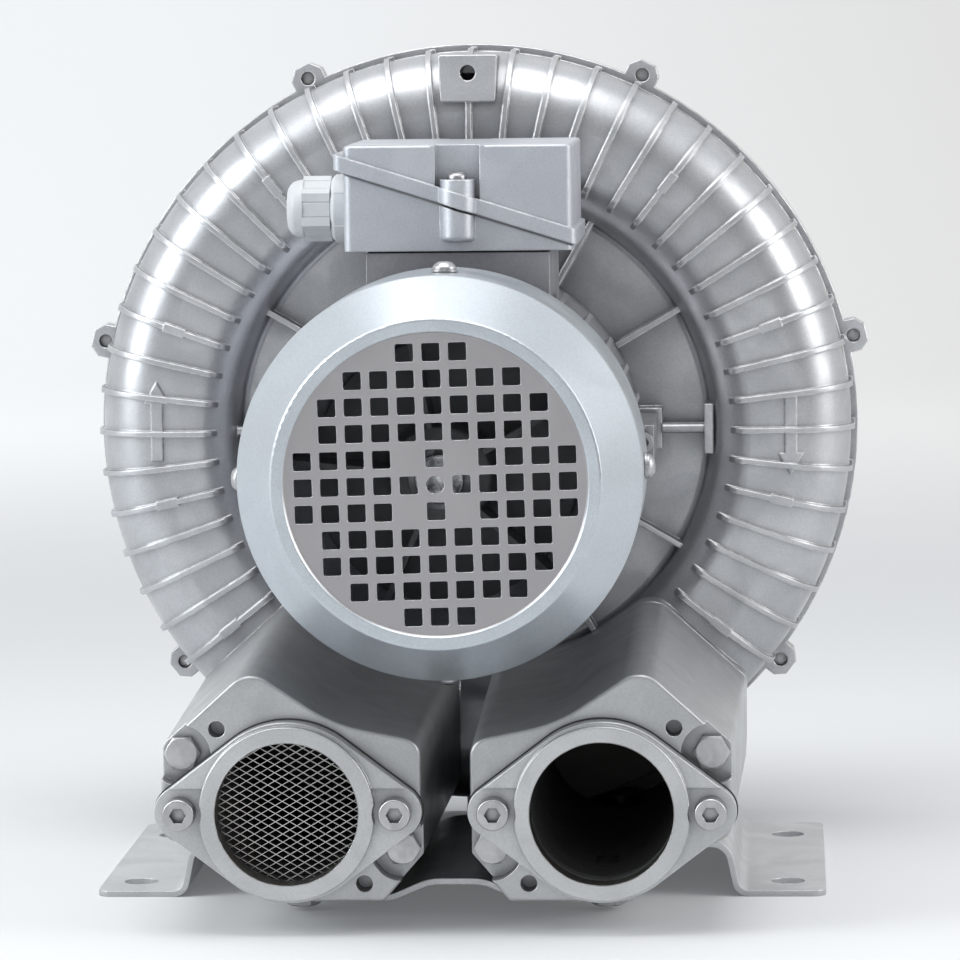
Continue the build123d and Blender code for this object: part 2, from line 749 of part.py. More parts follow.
with BuildPart() as motor_shaft:
    turn(
        [
            (shaft_fan_end, 0.0),
            (shaft_fan_end, fan_seat_radius),
            (rear_bearing_y - 1, fan_seat_radius),
            (rear_bearing_y - 1, journal_radius),
            (rear_bearing_end, journal_radius),
            (rear_bearing_end, journal_radius + 3),
            (core_start_y, journal_radius + 3),
            (core_start_y, shaft_core_radius),
            (core_end_y, shaft_core_radius),
            (core_end_y, journal_radius + 3),
            (drive_bearing_y, journal_radius + 3),
            (drive_bearing_y, journal_radius),
            (drive_bearing_end, journal_radius),
            (drive_bearing_end, impeller_seat_radius),
            (shaft_end_y, impeller_seat_radius),
            (shaft_end_y, 0.0),
        ],
        radii=[0, 1, 0, 0.5, 0, 0, 0, 0, 0, 0, 0, 0, 0.3, 0, 1, 0],
    )
    rod(hub_end_y - impeller_screw_depth - 4, shaft_end_y, m10_radius + thread_gap, 0.0, shaft_height,
        mode=Mode.SUBTRACT)
    block(-key_width / 2 - fit_gap, key_width / 2 + fit_gap, joint_y - key_length / 2 - fit_gap,
          joint_y + key_length / 2 + fit_gap, key_top_z - key_height, key_top_z + key_height,
          mode=Mode.SUBTRACT)
    ring(fan_hub_front_y - 1.2, fan_hub_front_y, fan_seat_radius - 0.8, fan_seat_radius + 1,
         mode=Mode.SUBTRACT)
motor_shaft.part.label = "motor_shaft"

with BuildPart() as rotor_core:
    ring(core_start_y, core_end_y, shaft_core_radius + fit_gap, rotor_radius)
    ring(core_start_y - 11, core_start_y, rotor_radius - 16, rotor_radius - 2)
    ring(core_end_y, core_end_y + 11, rotor_radius - 16, rotor_radius - 2)
rotor_core.part.label = "rotor_core"

pitch_radius = (journal_radius + bearing_seat_radius) / 2
ball_radius = pitch_radius - journal_radius - bearing_race + 1.6


def bearing_race_ring(y0, inner, outer):
    """One race of a deep-groove ball bearing with its ball track."""
    middle = y0 + bearing_width / 2
    turn([(y0, inner), (y0 + bearing_width, inner), (y0 + bearing_width, outer), (y0, outer)],
         radii=0.5)
    with BuildSketch(axial_plane()) as track:
        with Locations((middle, pitch_radius)):
            Circle(ball_radius + fit_gap)
    revolve(track.sketch, axis=shaft_axis, mode=Mode.SUBTRACT)


def bearing_balls(y0):
    """The balls of one bearing as separate solids."""
    with Locations(*round_shaft([k * 360 / ball_count for k in range(ball_count)],
                                y0 + bearing_width / 2, pitch_radius)):
        Sphere(ball_radius)


def bearing_cage(y0):
    """Snap cage beside the balls, pierced where they sit."""
    middle = y0 + bearing_width / 2
    ring(middle - 5.5, middle + 2.5, pitch_radius - 1.6, pitch_radius + 1.6)
    with Locations(*round_shaft([k * 360 / ball_count for k in range(ball_count)], middle,
                                pitch_radius)):
        Sphere(ball_radius + 0.2, mode=Mode.SUBTRACT)


with BuildPart() as drive_bearing_outer:
    bearing_race_ring(drive_bearing_y, bearing_seat_radius - bearing_race, bearing_seat_radius)
drive_bearing_outer.part.label = "drive_bearing_outer"

with BuildPart() as drive_bearing_inner:
    bearing_race_ring(drive_bearing_y, journal_radius + fit_gap, journal_radius + bearing_race)
drive_bearing_inner.part.label = "drive_bearing_inner"

with BuildPart() as drive_bearing_balls:
    bearing_balls(drive_bearing_y)
drive_bearing_balls.part.label = "drive_bearing_balls"

with BuildPart() as drive_bearing_cage:
    bearing_cage(drive_bearing_y)
drive_bearing_cage.part.label = "drive_bearing_cage"

with BuildPart() as rear_bearing_outer:
    bearing_race_ring(rear_bearing_y, bearing_seat_radius - bearing_race, bearing_seat_radius)
rear_bearing_outer.part.label = "rear_bearing_outer"

with BuildPart() as rear_bearing_inner:
    bearing_race_ring(rear_bearing_y, journal_radius + fit_gap, journal_radius + bearing_race)
rear_bearing_inner.part.label = "rear_bearing_inner"

with BuildPart() as rear_bearing_balls:
    bearing_balls(rear_bearing_y)
rear_bearing_balls.part.label = "rear_bearing_balls"

with BuildPart() as rear_bearing_cage:
    bearing_cage(rear_bearing_y)
rear_bearing_cage.part.label = "rear_bearing_cage"

with BuildPart() as shaft_seal:
    turn(
        [
            (hub_back_y - seal_width, seal_outer_radius),
            (hub_back_y, seal_outer_radius),
            (hub_back_y, seal_outer_radius - 2),
            (hub_back_y - seal_width + 2, seal_outer_radius - 2),
            (hub_back_y - seal_width + 2, impeller_seat_radius + 2),
            (hub_back_y - 1, impeller_seat_radius + 0.06),
            (hub_back_y - seal_width, impeller_seat_radius + 0.9),
        ],
    )
shaft_seal.part.label = "shaft_seal"

# -------------------------------------------------------------------------------- motor
pedestal_back_y = pedestal_front_y + pedestal_depth
ear_back_y = web_front_y - web_rib_height

with BuildPart() as motor_housing:
    ring(barrel_front_y, web_front_y, 0.0, barrel_radius)
    with BuildSketch(front_plane(barrel_front_y + 4 + fin_length, z=shaft_height)) as fins:
        with PolarLocations((barrel_radius + fin_tip_radius) / 2 - 1, fin_count, start_angle=5.0):
            Rectangle(fin_tip_radius - barrel_radius + 2, fin_thickness)
    extrude(fins.sketch, amount=fin_length)
    block(pedestal_x - pedestal_width / 2, pedestal_x + pedestal_width / 2, pedestal_front_y,
          pedestal_back_y, shaft_height, pedestal_top_z)
    for angle, ear_y in ear_fronts:
        with Locations(*round_shaft([angle], ear_back_y, ear_screw_radius - 1)):
            Box(ear_reach + 2, ear_width, ear_back_y - ear_y,
                align=(Align.CENTER, Align.CENTER, Align.MIN))
    ring(barrel_front_y, web_front_y, 0.0, barrel_inner_radius, mode=Mode.SUBTRACT)
    block(pedestal_x - pedestal_width / 2 + 6, pedestal_x + pedestal_width / 2 - 6,
          pedestal_front_y + 6, pedestal_back_y - 6, shaft_height + barrel_radius + 1.5, pedestal_top_z,
          mode=Mode.SUBTRACT)
    upright(shaft_height, pedestal_top_z, 9.0, pedestal_x, core_end_y + 9.5, mode=Mode.SUBTRACT)
    for corner_x in (-1, 1):
        for corner_y in (pedestal_front_y + 8, pedestal_back_y - 8):
            post_x = pedestal_x + corner_x * (pedestal_width / 2 - 8)
            upright(pedestal_top_z - 13, pedestal_top_z, 6.0, post_x, corner_y)
            upright(pedestal_top_z - 10, pedestal_top_z, m4_radius + thread_gap, post_x, corner_y,
                    mode=Mode.SUBTRACT)
    for angle, ear_y in ear_fronts:
        with Locations(*round_shaft([angle], ear_back_y, ear_screw_radius)):
            Cylinder(m5_radius + fit_gap, ear_back_y - ear_y,
                     align=(Align.CENTER, Align.CENTER, Align.MIN), mode=Mode.SUBTRACT)
motor_housing.part.label = "motor_housing"

with BuildPart() as motor_bolts:
    for angle, ear_y in ear_fronts:
        bolt_x = ear_screw_radius * cos(radians(angle))
        bolt_z = shaft_height + ear_screw_radius * sin(radians(angle))
        rod(ear_y, web_back_y - 3, m5_radius, bolt_x, bolt_z)
        rod(ear_y - 2 * m5_radius, ear_y, m5_cap_head / 2, bolt_x, bolt_z)
        hex_bar(ear_y - 2 * m5_radius, ear_y - m5_radius, m5_socket, bolt_x, bolt_z, mode=Mode.SUBTRACT)
motor_bolts.part.label = "motor_bolts"

slot_middle = rotor_radius + air_gap + slot_depth / 2

with BuildPart() as stator_core:
    ring(core_start_y, core_end_y, rotor_radius + air_gap, barrel_inner_radius - fit_gap)
    with BuildSketch(front_plane(core_end_y, z=shaft_height)) as slots:
        with PolarLocations(slot_middle, slot_count):
            Rectangle(slot_depth + 1, slot_width)
    extrude(slots.sketch, amount=core_length, mode=Mode.SUBTRACT)
stator_core.part.label = "stator_core"

with BuildPart() as stator_winding:
    with BuildSketch(front_plane(core_end_y + 1, z=shaft_height)) as coils:
        with PolarLocations(slot_middle + 1, slot_count):
            Rectangle(slot_depth - 3, slot_width - 0.6)
    extrude(coils.sketch, amount=core_length + 2)
    for turn_y in (core_start_y - end_turn_length, core_end_y):
        turn(
            [
                (turn_y, rotor_radius + 3),
                (turn_y + end_turn_length, rotor_radius + 3),
                (turn_y + end_turn_length, barrel_inner_radius - 4),
                (turn_y, barrel_inner_radius - 4),
            ],
            radii=5,
        )
stator_winding.part.label = "stator_winding"

shield_front_y = barrel_front_y - shield_thickness
shield_screw_circle = (barrel_radius + barrel_inner_radius) / 2
seat_floor_y = rear_bearing_y - 1.5
prong_outer_radius = cowl_rim_radius - cowl_wall - fit_gap

with BuildPart() as rear_end_shield:
    turn(
        [
            (seat_floor_y - 3, fan_seat_radius + 0.6),
            (seat_floor_y - 3, bearing_seat_radius + 4),
            (shield_front_y, bearing_seat_radius + 7),
            (shield_front_y, prong_outer_radius - 3),
            (shield_front_y + 2, prong_outer_radius - 3),
            (shield_front_y + 2, barrel_radius),
            (barrel_front_y, barrel_radius),
            (barrel_front_y, barrel_inner_radius - fit_gap),
            (barrel_front_y + 5, barrel_inner_radius - fit_gap),
            (barrel_front_y + 5, barrel_inner_radius - 5),
            (barrel_front_y, barrel_inner_radius - 5),
            (barrel_front_y, bearing_seat_radius + 8),
            (barrel_front_y + 5, bearing_seat_radius + 8),
            (barrel_front_y + 5, bearing_seat_radius + fit_gap),
            (seat_floor_y, bearing_seat_radius + fit_gap),
            (seat_floor_y, fan_seat_radius + 0.6),
        ],
    )
    # prongs that carry the fan cowl
    with BuildSketch(front_plane(shield_front_y + 2, z=shaft_height)) as prongs:
        for angle in cowl_screw_angles:
            with PolarLocations(prong_outer_radius, 1, start_angle=angle):
                Rectangle(3 * prong_thickness, prong_width)
        Circle(prong_outer_radius, mode=Mode.INTERSECT)
        Circle(prong_outer_radius - prong_thickness, mode=Mode.SUBTRACT)
    extrude(prongs.sketch, amount=shield_front_y + 2 - cowl_screw_y + prong_end)
    with Locations(*round_shaft(shield_screw_angles, barrel_front_y, shield_screw_circle)):
        Cylinder(shield_screw_radius + fit_gap, shield_thickness,
                 align=(Align.CENTER, Align.CENTER, Align.MIN), mode=Mode.SUBTRACT)
    for angle in cowl_screw_angles:
        with BuildSketch(radial_plane(angle, cowl_screw_y)) as screw_hole:
            Circle(m5_radius + thread_gap)
        extrude(screw_hole.sketch, amount=cowl_rim_radius, mode=Mode.SUBTRACT)
rear_end_shield.part.label = "rear_end_shield"

with BuildPart() as shield_screws:
    for angle in shield_screw_angles:
        screw_x = shield_screw_circle * cos(radians(angle))
        screw_z = shaft_height + shield_screw_circle * sin(radians(angle))
        rod(shield_front_y, barrel_front_y, shield_screw_radius, screw_x, screw_z)
        rod(shield_front_y - 2.6, shield_front_y, 3.0, screw_x, screw_z)
shield_screws.part.label = "shield_screws"

with BuildPart() as preload_washer:
    ring(seat_floor_y + 0.2, rear_bearing_y - 0.1, bearing_seat_radius - bearing_race + 0.4,
         bearing_seat_radius - 0.3)
preload_washer.part.label = "preload_washer"

# ----------------------------------------------------------------------- fan and cowl
with BuildPart() as cooling_fan:
    fan_front_y = fan_disc_y - fan_depth
    with BuildSketch(front_plane(fan_disc_y, z=shaft_height)) as blades:
        with PolarLocations((fan_hub_radius + fan_radius) / 2 - 1, fan_blade_count,
                            start_angle=blade_start_angle):
            Rectangle(fan_radius - fan_hub_radius + 2, fan_blade_thickness)
    extrude(blades.sketch, amount=fan_depth)
    turn(
        [
            (fan_disc_y, fan_seat_radius + fit_gap),
            (fan_disc_y, fan_radius - 14),
            (fan_disc_y - 2.4, fan_radius - 14),
            (fan_disc_y - 4, fan_hub_radius),
            (fan_front_y, fan_hub_radius - 1.5),
            (fan_hub_front_y, fan_seat_radius + 3),
            (fan_hub_front_y, fan_seat_radius + fit_gap),
        ],
        radii=[0, 0.8, 0.8, 3, 2, 0, 0],
    )
cooling_fan.part.label = "cooling_fan"

with BuildPart() as fan_circlip:
    ring(fan_hub_front_y - 1.1, fan_hub_front_y, fan_seat_radius - 0.7, fan_seat_radius + 2.4)
    block(-2.0, 2.0, fan_hub_front_y - 2, fan_hub_front_y + 1, shaft_height,
          shaft_height + 2 * fan_seat_radius, mode=Mode.SUBTRACT)
fan_circlip.part.label = "fan_circlip"


def grille_spots():
    """Row and column of every square hole of the grille."""
    spots = []
    for row in range(1 - len(grille_rows), len(grille_rows)):
        reach = grille_rows[abs(row)]
        for column in range(-reach, reach + 1):
            beside_centre = abs(row) == 1 and abs(column) == 1
            if (row, column) != (0, 0) and not beside_centre:
                spots.append((column * grille_pitch, row * grille_pitch))
    return spots


with BuildPart() as fan_cowl:
    outer_line = [
        (cowl_back_y, cowl_rim_radius),
        (cowl_rim_y, cowl_rim_radius),
        (cowl_face_y, cowl_face_radius),
        (cowl_face_y, grille_radius),
        (cowl_face_y + grille_step, grille_radius - 1),
        (cowl_face_y + grille_step, 0.0),
    ]
    inner_line = [
        (cowl_face_y + grille_step + cowl_wall, 0.0),
        (cowl_face_y + grille_step + cowl_wall, cowl_face_radius - cowl_wall),
        (cowl_rim_y + cowl_wall / 2, cowl_rim_radius - cowl_wall),
        (cowl_back_y, cowl_rim_radius - cowl_wall),
    ]
    turn(outer_line + inner_line, radii=[0, 2.2, 1.2, 0.6, 0.3, 0, 0, 0.5, 1.0, 0])
    holes_y = cowl_face_y + 2 * (grille_step + cowl_wall)
    with BuildSketch(front_plane(holes_y, z=shaft_height)) as holes:
        with Locations(Location((0, 0, 0), (0, 0, grille_turn))):
            with Locations(*grille_spots()):
                RectangleRounded(grille_hole, grille_hole, 0.8)
        Circle(grille_hole / 2)
    extrude(holes.sketch, amount=3 * (grille_step + cowl_wall), mode=Mode.SUBTRACT)
    for angle in cowl_screw_angles:
        with BuildSketch(radial_plane(angle, cowl_screw_y)) as cowl_hole:
            Circle(m5_radius + 0.4)
        extrude(cowl_hole.sketch, amount=cowl_rim_radius + 10, mode=Mode.SUBTRACT)
fan_cowl.part.label = "fan_cowl"


def radial_turn(angle, points, radii=0.0):
    """Turn a (reach, radius) outline about the axis of one cowl screw."""
    out = (cos(radians(angle)), 0, sin(radians(angle)))
    with BuildSketch(Plane(origin=(0, cowl_screw_y, shaft_height), x_dir=out, z_dir=(
            -sin(radians(angle)), 0, cos(radians(angle))))) as section:
        with BuildLine():
            FilletPolyline(*points, radius=radii, close=True)
        make_face()
    revolve(section.sketch, axis=Axis((0, cowl_screw_y, shaft_height), out))


washer_base = cowl_rim_radius + 0.2
washer_top = washer_base + 1.0
cowl_screw_end = cowl_rim_radius - cowl_wall - prong_thickness
dome_top = washer_top + 3.1
dome_radius = 4.8

with BuildPart() as cowl_washers:
    for angle in cowl_screw_angles:
        radial_turn(angle, [(washer_base, m5_radius + 0.3), (washer_top, m5_radius + 0.3),
                            (washer_top, 5.3), (washer_base, 5.3)])
cowl_washers.part.label = "cowl_washers"

with BuildPart() as cowl_screws:
    for angle in cowl_screw_angles:
        radial_turn(angle, [(cowl_screw_end, 0.0), (dome_top, 0.0), (dome_top, 3.0),
                            (washer_top + 1.0, dome_radius), (washer_top, dome_radius),
                            (washer_top, m5_radius), (cowl_screw_end, m5_radius)],
                    radii=[0, 0, 3.0, 1.2, 0, 0, 0])
cowl_screws.part.label = "cowl_screws"

# ------------------------------------------------------------------------ terminal box
split_slope = degrees(atan2(split_left_z - split_right_z, box_width + 2 * lid_rim_reach))
rim_left = box_left + lid_rim_shift - lid_rim_reach


def split_plane(lift=0.0):
    """Sloping parting plane of the terminal box, lifted along Z."""
    normal = (sin(radians(split_slope)), 0, cos(radians(split_slope)))
    return Plane(origin=(rim_left, 0, split_left_z + lift), x_dir=(0, 1, 0), z_dir=normal)


def box_shell(reach=0.0, low=box_floor_z, high=box_top_z, end_reach=None, shift=0.0, mode=Mode.ADD):
    """Rounded rectangular block of the box, widened by reach at the sides and the ends."""
    ends = reach if end_reach is None else end_reach
    with BuildSketch(Plane((box_x + shift, box_front_y + box_depth / 2, low))) as plan:
        RectangleRounded(box_width + 2 * reach, box_depth + 2 * ends, box_corner)
    extrude(plan.sketch, amount=high - low, mode=mode)


boss_ys = (box_front_y + 1.0, box_back_y - 1.0)

with BuildPart() as terminal_box:
    box_shell()
    box_shell(-box_wall, box_floor_z + box_wall, box_top_z + 1, mode=Mode.SUBTRACT)
    for boss_y in boss_ys:
        turned_post([(0, base_boss_z), (lid_boss_radius, base_boss_z), (lid_boss_radius, box_top_z),
                     (0, box_top_z)], [0, lid_boss_rounding, 0, 0], box_x, boss_y)
    split(bisect_by=split_plane(), keep=Keep.BOTTOM)
    for boss_y in boss_ys:
        upright(base_boss_z + 2, box_top_z, m4_radius + thread_gap, box_x, boss_y, mode=Mode.SUBTRACT)
    upright(box_floor_z, box_floor_z + box_wall, 12.0, box_x, box_front_y + box_depth * 0.62,
            mode=Mode.SUBTRACT)
    for corner_x in (-1, 1):
        for corner_y in (pedestal_front_y + 8, pedestal_back_y - 8):
            upright(box_floor_z, box_floor_z + box_wall, m4_radius + 0.3,
                    pedestal_x + corner_x * (pedestal_width / 2 - 8), corner_y, mode=Mode.SUBTRACT)
    with BuildSketch(Plane(origin=(box_left - 1, gland_y, gland_z), z_dir=(1, 0, 0))) as gland_hole:
        Circle(gland_thread_radius + 0.1)
    extrude(gland_hole.sketch, amount=box_wall + 2, mode=Mode.SUBTRACT)
terminal_box.part.label = "terminal_box"

with BuildPart() as lid_gasket:
    box_shell()
    box_shell(-box_wall + 0.4, box_floor_z - 1, box_top_z + 1, mode=Mode.SUBTRACT)
    split(bisect_by=split_plane(split_gasket), keep=Keep.BOTTOM)
    split(bisect_by=split_plane(), keep=Keep.TOP)
    for boss_y in boss_ys:
        upright(base_boss_z, box_top_z, m4_radius + 0.4, box_x, boss_y, mode=Mode.SUBTRACT)
lid_gasket.part.label = "lid_gasket"

with BuildPart() as rim_band:
    box_shell(lid_rim_reach, box_floor_z - 20, box_top_z, lid_rim_end_reach, lid_rim_shift)
    box_shell(-box_wall, box_floor_z - 21, box_top_z + 1, mode=Mode.SUBTRACT)
    for boss_y in boss_ys:
        upright(base_boss_z - 20, box_top_z, lid_boss_radius + 1.0, box_x, boss_y)
    split(bisect_by=split_plane(split_gasket), keep=Keep.TOP)
    split(bisect_by=split_plane(split_gasket + lid_rim_height), keep=Keep.BOTTOM)

with BuildPart() as terminal_lid:
    box_shell()
    fillet(terminal_lid.edges().group_by(Axis.Z)[-1], 1.4)
    box_shell(-box_wall, box_floor_z - 1, box_top_z - box_wall, mode=Mode.SUBTRACT)
    # pockets that let the screws in from above, floored by the two bosses
    for boss_y, outward in zip(boss_ys, (-1, 1)):
        block(box_x - lid_slot_width / 2 - 2, box_x + lid_slot_width / 2 + 2,
              min(boss_y + outward, boss_y - outward * (lid_slot_depth + 2)),
              max(boss_y + outward, boss_y - outward * (lid_slot_depth + 2)),
              box_floor_z, box_top_z - 0.1)
        block(box_x - lid_slot_width / 2, box_x + lid_slot_width / 2,
              min(boss_y + 3 * outward, boss_y - outward * lid_slot_depth),
              max(boss_y + 3 * outward, boss_y - outward * lid_slot_depth),
              box_floor_z - 1, box_top_z + 1, mode=Mode.SUBTRACT)
        upright(box_floor_z, lid_boss_top, lid_boss_radius, box_x, boss_y)
    split(bisect_by=split_plane(split_gasket), keep=Keep.TOP)
    add(rim_band.part)
    for boss_y in boss_ys:
        upright(box_floor_z, box_top_z, m4_radius + 0.3, box_x, boss_y, mode=Mode.SUBTRACT)
terminal_lid.part.label = "terminal_lid"

lid_screw_top = lid_boss_top + lid_screw_head_height

with BuildPart() as lid_screws:
    for boss_y in boss_ys:
        upright(base_boss_z + 4, lid_boss_top, m4_radius, box_x, boss_y)
        turned_post([(0, lid_boss_top), (lid_screw_head / 2, lid_boss_top),
                     (lid_screw_head / 2, lid_screw_top), (0, lid_screw_top)],
                    [0, 0, 2.0, 0], box_x, boss_y)
        block(box_x - lid_screw_head, box_x + lid_screw_head, boss_y - lid_screw_slot / 2,
              boss_y + lid_screw_slot / 2, lid_screw_top - 1.2, lid_screw_top + 1, mode=Mode.SUBTRACT)
lid_screws.part.label = "lid_screws"

with BuildPart() as box_gasket:
    block(pedestal_x - pedestal_width / 2 + 1, pedestal_x + pedestal_width / 2 - 1,
          pedestal_front_y + 1, pedestal_back_y - 1, pedestal_top_z, box_floor_z)
    block(pedestal_x - pedestal_width / 2 + 14, pedestal_x + pedestal_width / 2 - 14,
          pedestal_front_y + 14, pedestal_back_y - 14, pedestal_top_z - 1, box_floor_z + 1,
          mode=Mode.SUBTRACT)
    for corner_x in (-1, 1):
        for corner_y in (pedestal_front_y + 8, pedestal_back_y - 8):
            upright(pedestal_top_z, box_floor_z, m4_radius + 0.4,
                    pedestal_x + corner_x * (pedestal_width / 2 - 8), corner_y, mode=Mode.SUBTRACT)
box_gasket.part.label = "box_gasket"

with BuildPart() as box_screws:
    for corner_x in (-1, 1):
        for corner_y in (pedestal_front_y + 8, pedestal_back_y - 8):
            post_x = pedestal_x + corner_x * (pedestal_width / 2 - 8)
            upright(pedestal_top_z - 9, box_floor_z + box_wall, m4_radius, post_x, corner_y)
            upright(box_floor_z + box_wall, box_floor_z + box_wall + 2.8, 3.6, post_x, corner_y)
box_screws.part.label = "box_screws"

board_y = box_front_y + box_depth * 0.33
stud_spots = [(box_x + column * 15.0, board_y + row * 7.5) for row in (-1, 1) for column in (-1, 0, 1)]
board_z = box_floor_z + box_wall

with BuildPart() as terminal_board:
    block(box_x - 26, box_x + 26, board_y - 14, board_y + 14, board_z, board_z + 6)
    for spot_x, spot_y in stud_spots:
        upright(board_z + 2, board_z + 6, m4_radius + thread_gap, spot_x, spot_y, mode=Mode.SUBTRACT)
terminal_board.part.label = "terminal_board"

with BuildPart() as terminal_studs:
    for spot_x, spot_y in stud_spots:
        upright(board_z + 2, board_z + 14, m4_radius, spot_x, spot_y)
        with BuildSketch(Plane((spot_x, spot_y, board_z + 7.2))) as nut:
            RegularPolygon(3.5, 6, major_radius=False)
        extrude(nut.sketch, amount=3.2)
terminal_studs.part.label = "terminal_studs"

with BuildPart() as terminal_links:
    for spot_x in (box_x - 15.0, box_x, box_x + 15.0):
        block(spot_x - 4, spot_x + 4, board_y - 11.5, board_y + 11.5, board_z + 6, board_z + 7.2)
        for spot_y in (board_y - 7.5, board_y + 7.5):
            upright(board_z + 6, board_z + 7.2, m4_radius + 0.1, spot_x, spot_y, mode=Mode.SUBTRACT)
terminal_links.part.label = "terminal_links"

# ------------------------------------------------------------------------- cable gland
gland_axis = Axis((0, gland_y, gland_z), (1, 0, 0))
collar_end = box_left - gland_collar_length
cap_end = collar_end - gland_cap_length
dome_end = cap_end - gland_dome_length
thread_end = box_left + box_wall + 7


def gland_turn(points, radii=0.0, mode=Mode.ADD):
    """Turn an (x, radius) outline about the gland axis."""
    with BuildSketch(Plane(origin=(0, gland_y, gland_z), x_dir=(1, 0, 0), z_dir=(0, -1, 0))) as section:
        with BuildLine():
            FilletPolyline(*points, radius=radii, close=True)
        make_face()
    revolve(section.sketch, axis=gland_axis, mode=mode)


def gland_hexagon(x0, x1, across_flats, grooves=0, rotation=30):
    """Hexagonal bar along X on the gland axis, with fine grooves along each flat."""
    with BuildSketch(Plane(origin=(x0, gland_y, gland_z), x_dir=(0, 1, 0), z_dir=(1, 0, 0))) as hexagon:
        RegularPolygon(across_flats / 2, 6, major_radius=False, rotation=rotation)
        if grooves:
            with PolarLocations(across_flats / 2, 6, start_angle=gland_flat_angle):
                with GridLocations(0, gland_groove_pitch, 1, grooves):
                    Rectangle(2 * gland_groove_depth, gland_groove_width, mode=Mode.SUBTRACT)
    extrude(hexagon.sketch, amount=x1 - x0)


with BuildPart() as gland_body:
    gland_turn([(collar_end + 2.0, gland_bore_radius), (collar_end + 2.0, 12.6), (collar_end + 3.4, 14.2),
                (box_left - 2.2, 14.2), (box_left, 13.0), (box_left, gland_thread_radius),
                (thread_end, gland_thread_radius), (thread_end, gland_bore_radius)],
               radii=[0, 0.6, 0.6, 0.6, 0.4, 0, 0.5, 0])
    gland_hexagon(collar_end + 3.6, box_left - 2.6, gland_hex + 1.0)
    gland_turn([(cap_end + 2, gland_bore_radius), (cap_end + 2, 10.2), (collar_end + 3, 10.2),
                (collar_end + 3, gland_bore_radius)])
    gland_turn([(cap_end, 0.0), (cap_end, gland_bore_radius), (box_left + 20, gland_bore_radius),
                (box_left + 20, 0.0)], mode=Mode.SUBTRACT)
gland_body.part.label = "gland_body"

with BuildPart() as gland_cap:
    gland_hexagon(cap_end, collar_end + 1.8, gland_hex, gland_groove_count)
    gland_turn([(dome_end, 5.6), (dome_end, 8.5), (dome_end + 2.2, 11.6), (cap_end - 0.5, 12.5),
                (cap_end + 0.4, 12.5), (cap_end + 0.4, 5.6)], radii=[0, 3, 5, 4, 0, 0])
    gland_turn([(cap_end + 1.8, 0.0), (cap_end + 1.8, 10.26), (collar_end + 2, 10.26),
                (collar_end + 2, 0.0)], mode=Mode.SUBTRACT)
    gland_turn([(dome_end - 1, 0.0), (dome_end - 1, 5.8), (cap_end + 2, 5.8), (cap_end + 2, 0.0)],
               mode=Mode.SUBTRACT)
gland_cap.part.label = "gland_cap"

with BuildPart() as gland_seal:
    gland_turn([(cap_end + 2.0, 0.0), (cap_end + 2.0, gland_bore_radius - 0.1),
                (collar_end, gland_bore_radius - 0.1), (collar_end, 0.0)])
    gland_turn([(dome_end + 1.5, 0.0), (dome_end + 1.5, 5.7), (cap_end + 2.2, 5.7), (cap_end + 2.2, 0.0)])
    gland_turn([(dome_end, 0.0), (dome_end, 4.0), (collar_end + 1, 4.0), (collar_end + 1, 0.0)],
               mode=Mode.SUBTRACT)
gland_seal.part.label = "gland_seal"

with BuildPart() as gland_locknut:
    gland_hexagon(box_left + box_wall, box_left + box_wall + 5, gland_hex, rotation=0)
    gland_turn([(box_left, 0.0), (box_left, gland_thread_radius + thread_gap),
                (box_left + 20, gland_thread_radius + thread_gap), (box_left + 20, 0.0)],
               mode=Mode.SUBTRACT)
gland_locknut.part.label = "gland_locknut"


# --------------------------------------------------------------------------- silencers
def column_spots(side):
    """Places of the two silencer bolts as seen from the front."""
    return [(side * outer_bolt[0], outer_bolt[1]), (side * inner_bolt[0], inner_bolt[1])]


def silencer(side):
    """One cast silencer box, open at the back, with bolt columns and a port bore."""
    cavity_y = silencer_front_y + silencer_front_wall
    with BuildPart() as body:
        loft([silencer_profile(side, silencer_front_y).sketch,
              silencer_profile(side, silencer_back_y, silencer_draft).sketch], ruled=True)
        fillet(body.edges().group_by(Axis.Y)[0], silencer_edge)
        with BuildSketch(front_plane(silencer_back_y)) as cavity:
            add(silencer_profile(side, 0, -silencer_wall, -silencer_wall).sketch_local)
            with Locations(*column_spots(side)):
                Circle(column_radius, mode=Mode.SUBTRACT)
        extrude(cavity.sketch, amount=silencer_back_y - cavity_y, mode=Mode.SUBTRACT)
        rod(silencer_front_y, cavity_y, port_radius + 0.5, side * port_x, port_z, mode=Mode.SUBTRACT)
        rod(silencer_front_y, silencer_front_y + screen_seat_depth, port_radius + 3, side * port_x, port_z,
            mode=Mode.SUBTRACT)
        upright(cradle_top_z, port_z - bottom_radius + 7.5, column_radius, side * port_x, base_screw_ys[0])
        upright(cradle_top_z, port_z - bottom_radius + 5, m8_radius + thread_gap, side * port_x,
                base_screw_ys[0], mode=Mode.SUBTRACT)
        for spot_x, spot_z in column_spots(side):
            rod(silencer_front_y - 1, silencer_front_y + pocket_depth, pocket_radius, spot_x, spot_z,
                mode=Mode.SUBTRACT)
            rod(silencer_front_y, silencer_back_y, m8_radius + bolt_shank_gap, spot_x, spot_z,
                mode=Mode.SUBTRACT)
        for spot_x, spot_z in (upper_tap, lower_tap):
            rod(silencer_front_y, silencer_front_y + tap_depth, m8_tap_radius, side * spot_x, spot_z,
                mode=Mode.SUBTRACT)
        for reach in (-flange_screw_reach, flange_screw_reach):
            rod(silencer_front_y, silencer_front_y + tap_depth + 1, m8_radius + thread_gap,
                side * port_x + reach, port_z, mode=Mode.SUBTRACT)
    return body.part


with BuildPart() as silencer_left:
    add(silencer(-1))
silencer_left.part.label = "silencer_left"

with BuildPart() as silencer_right:
    add(silencer(1))
silencer_right.part.label = "silencer_right"


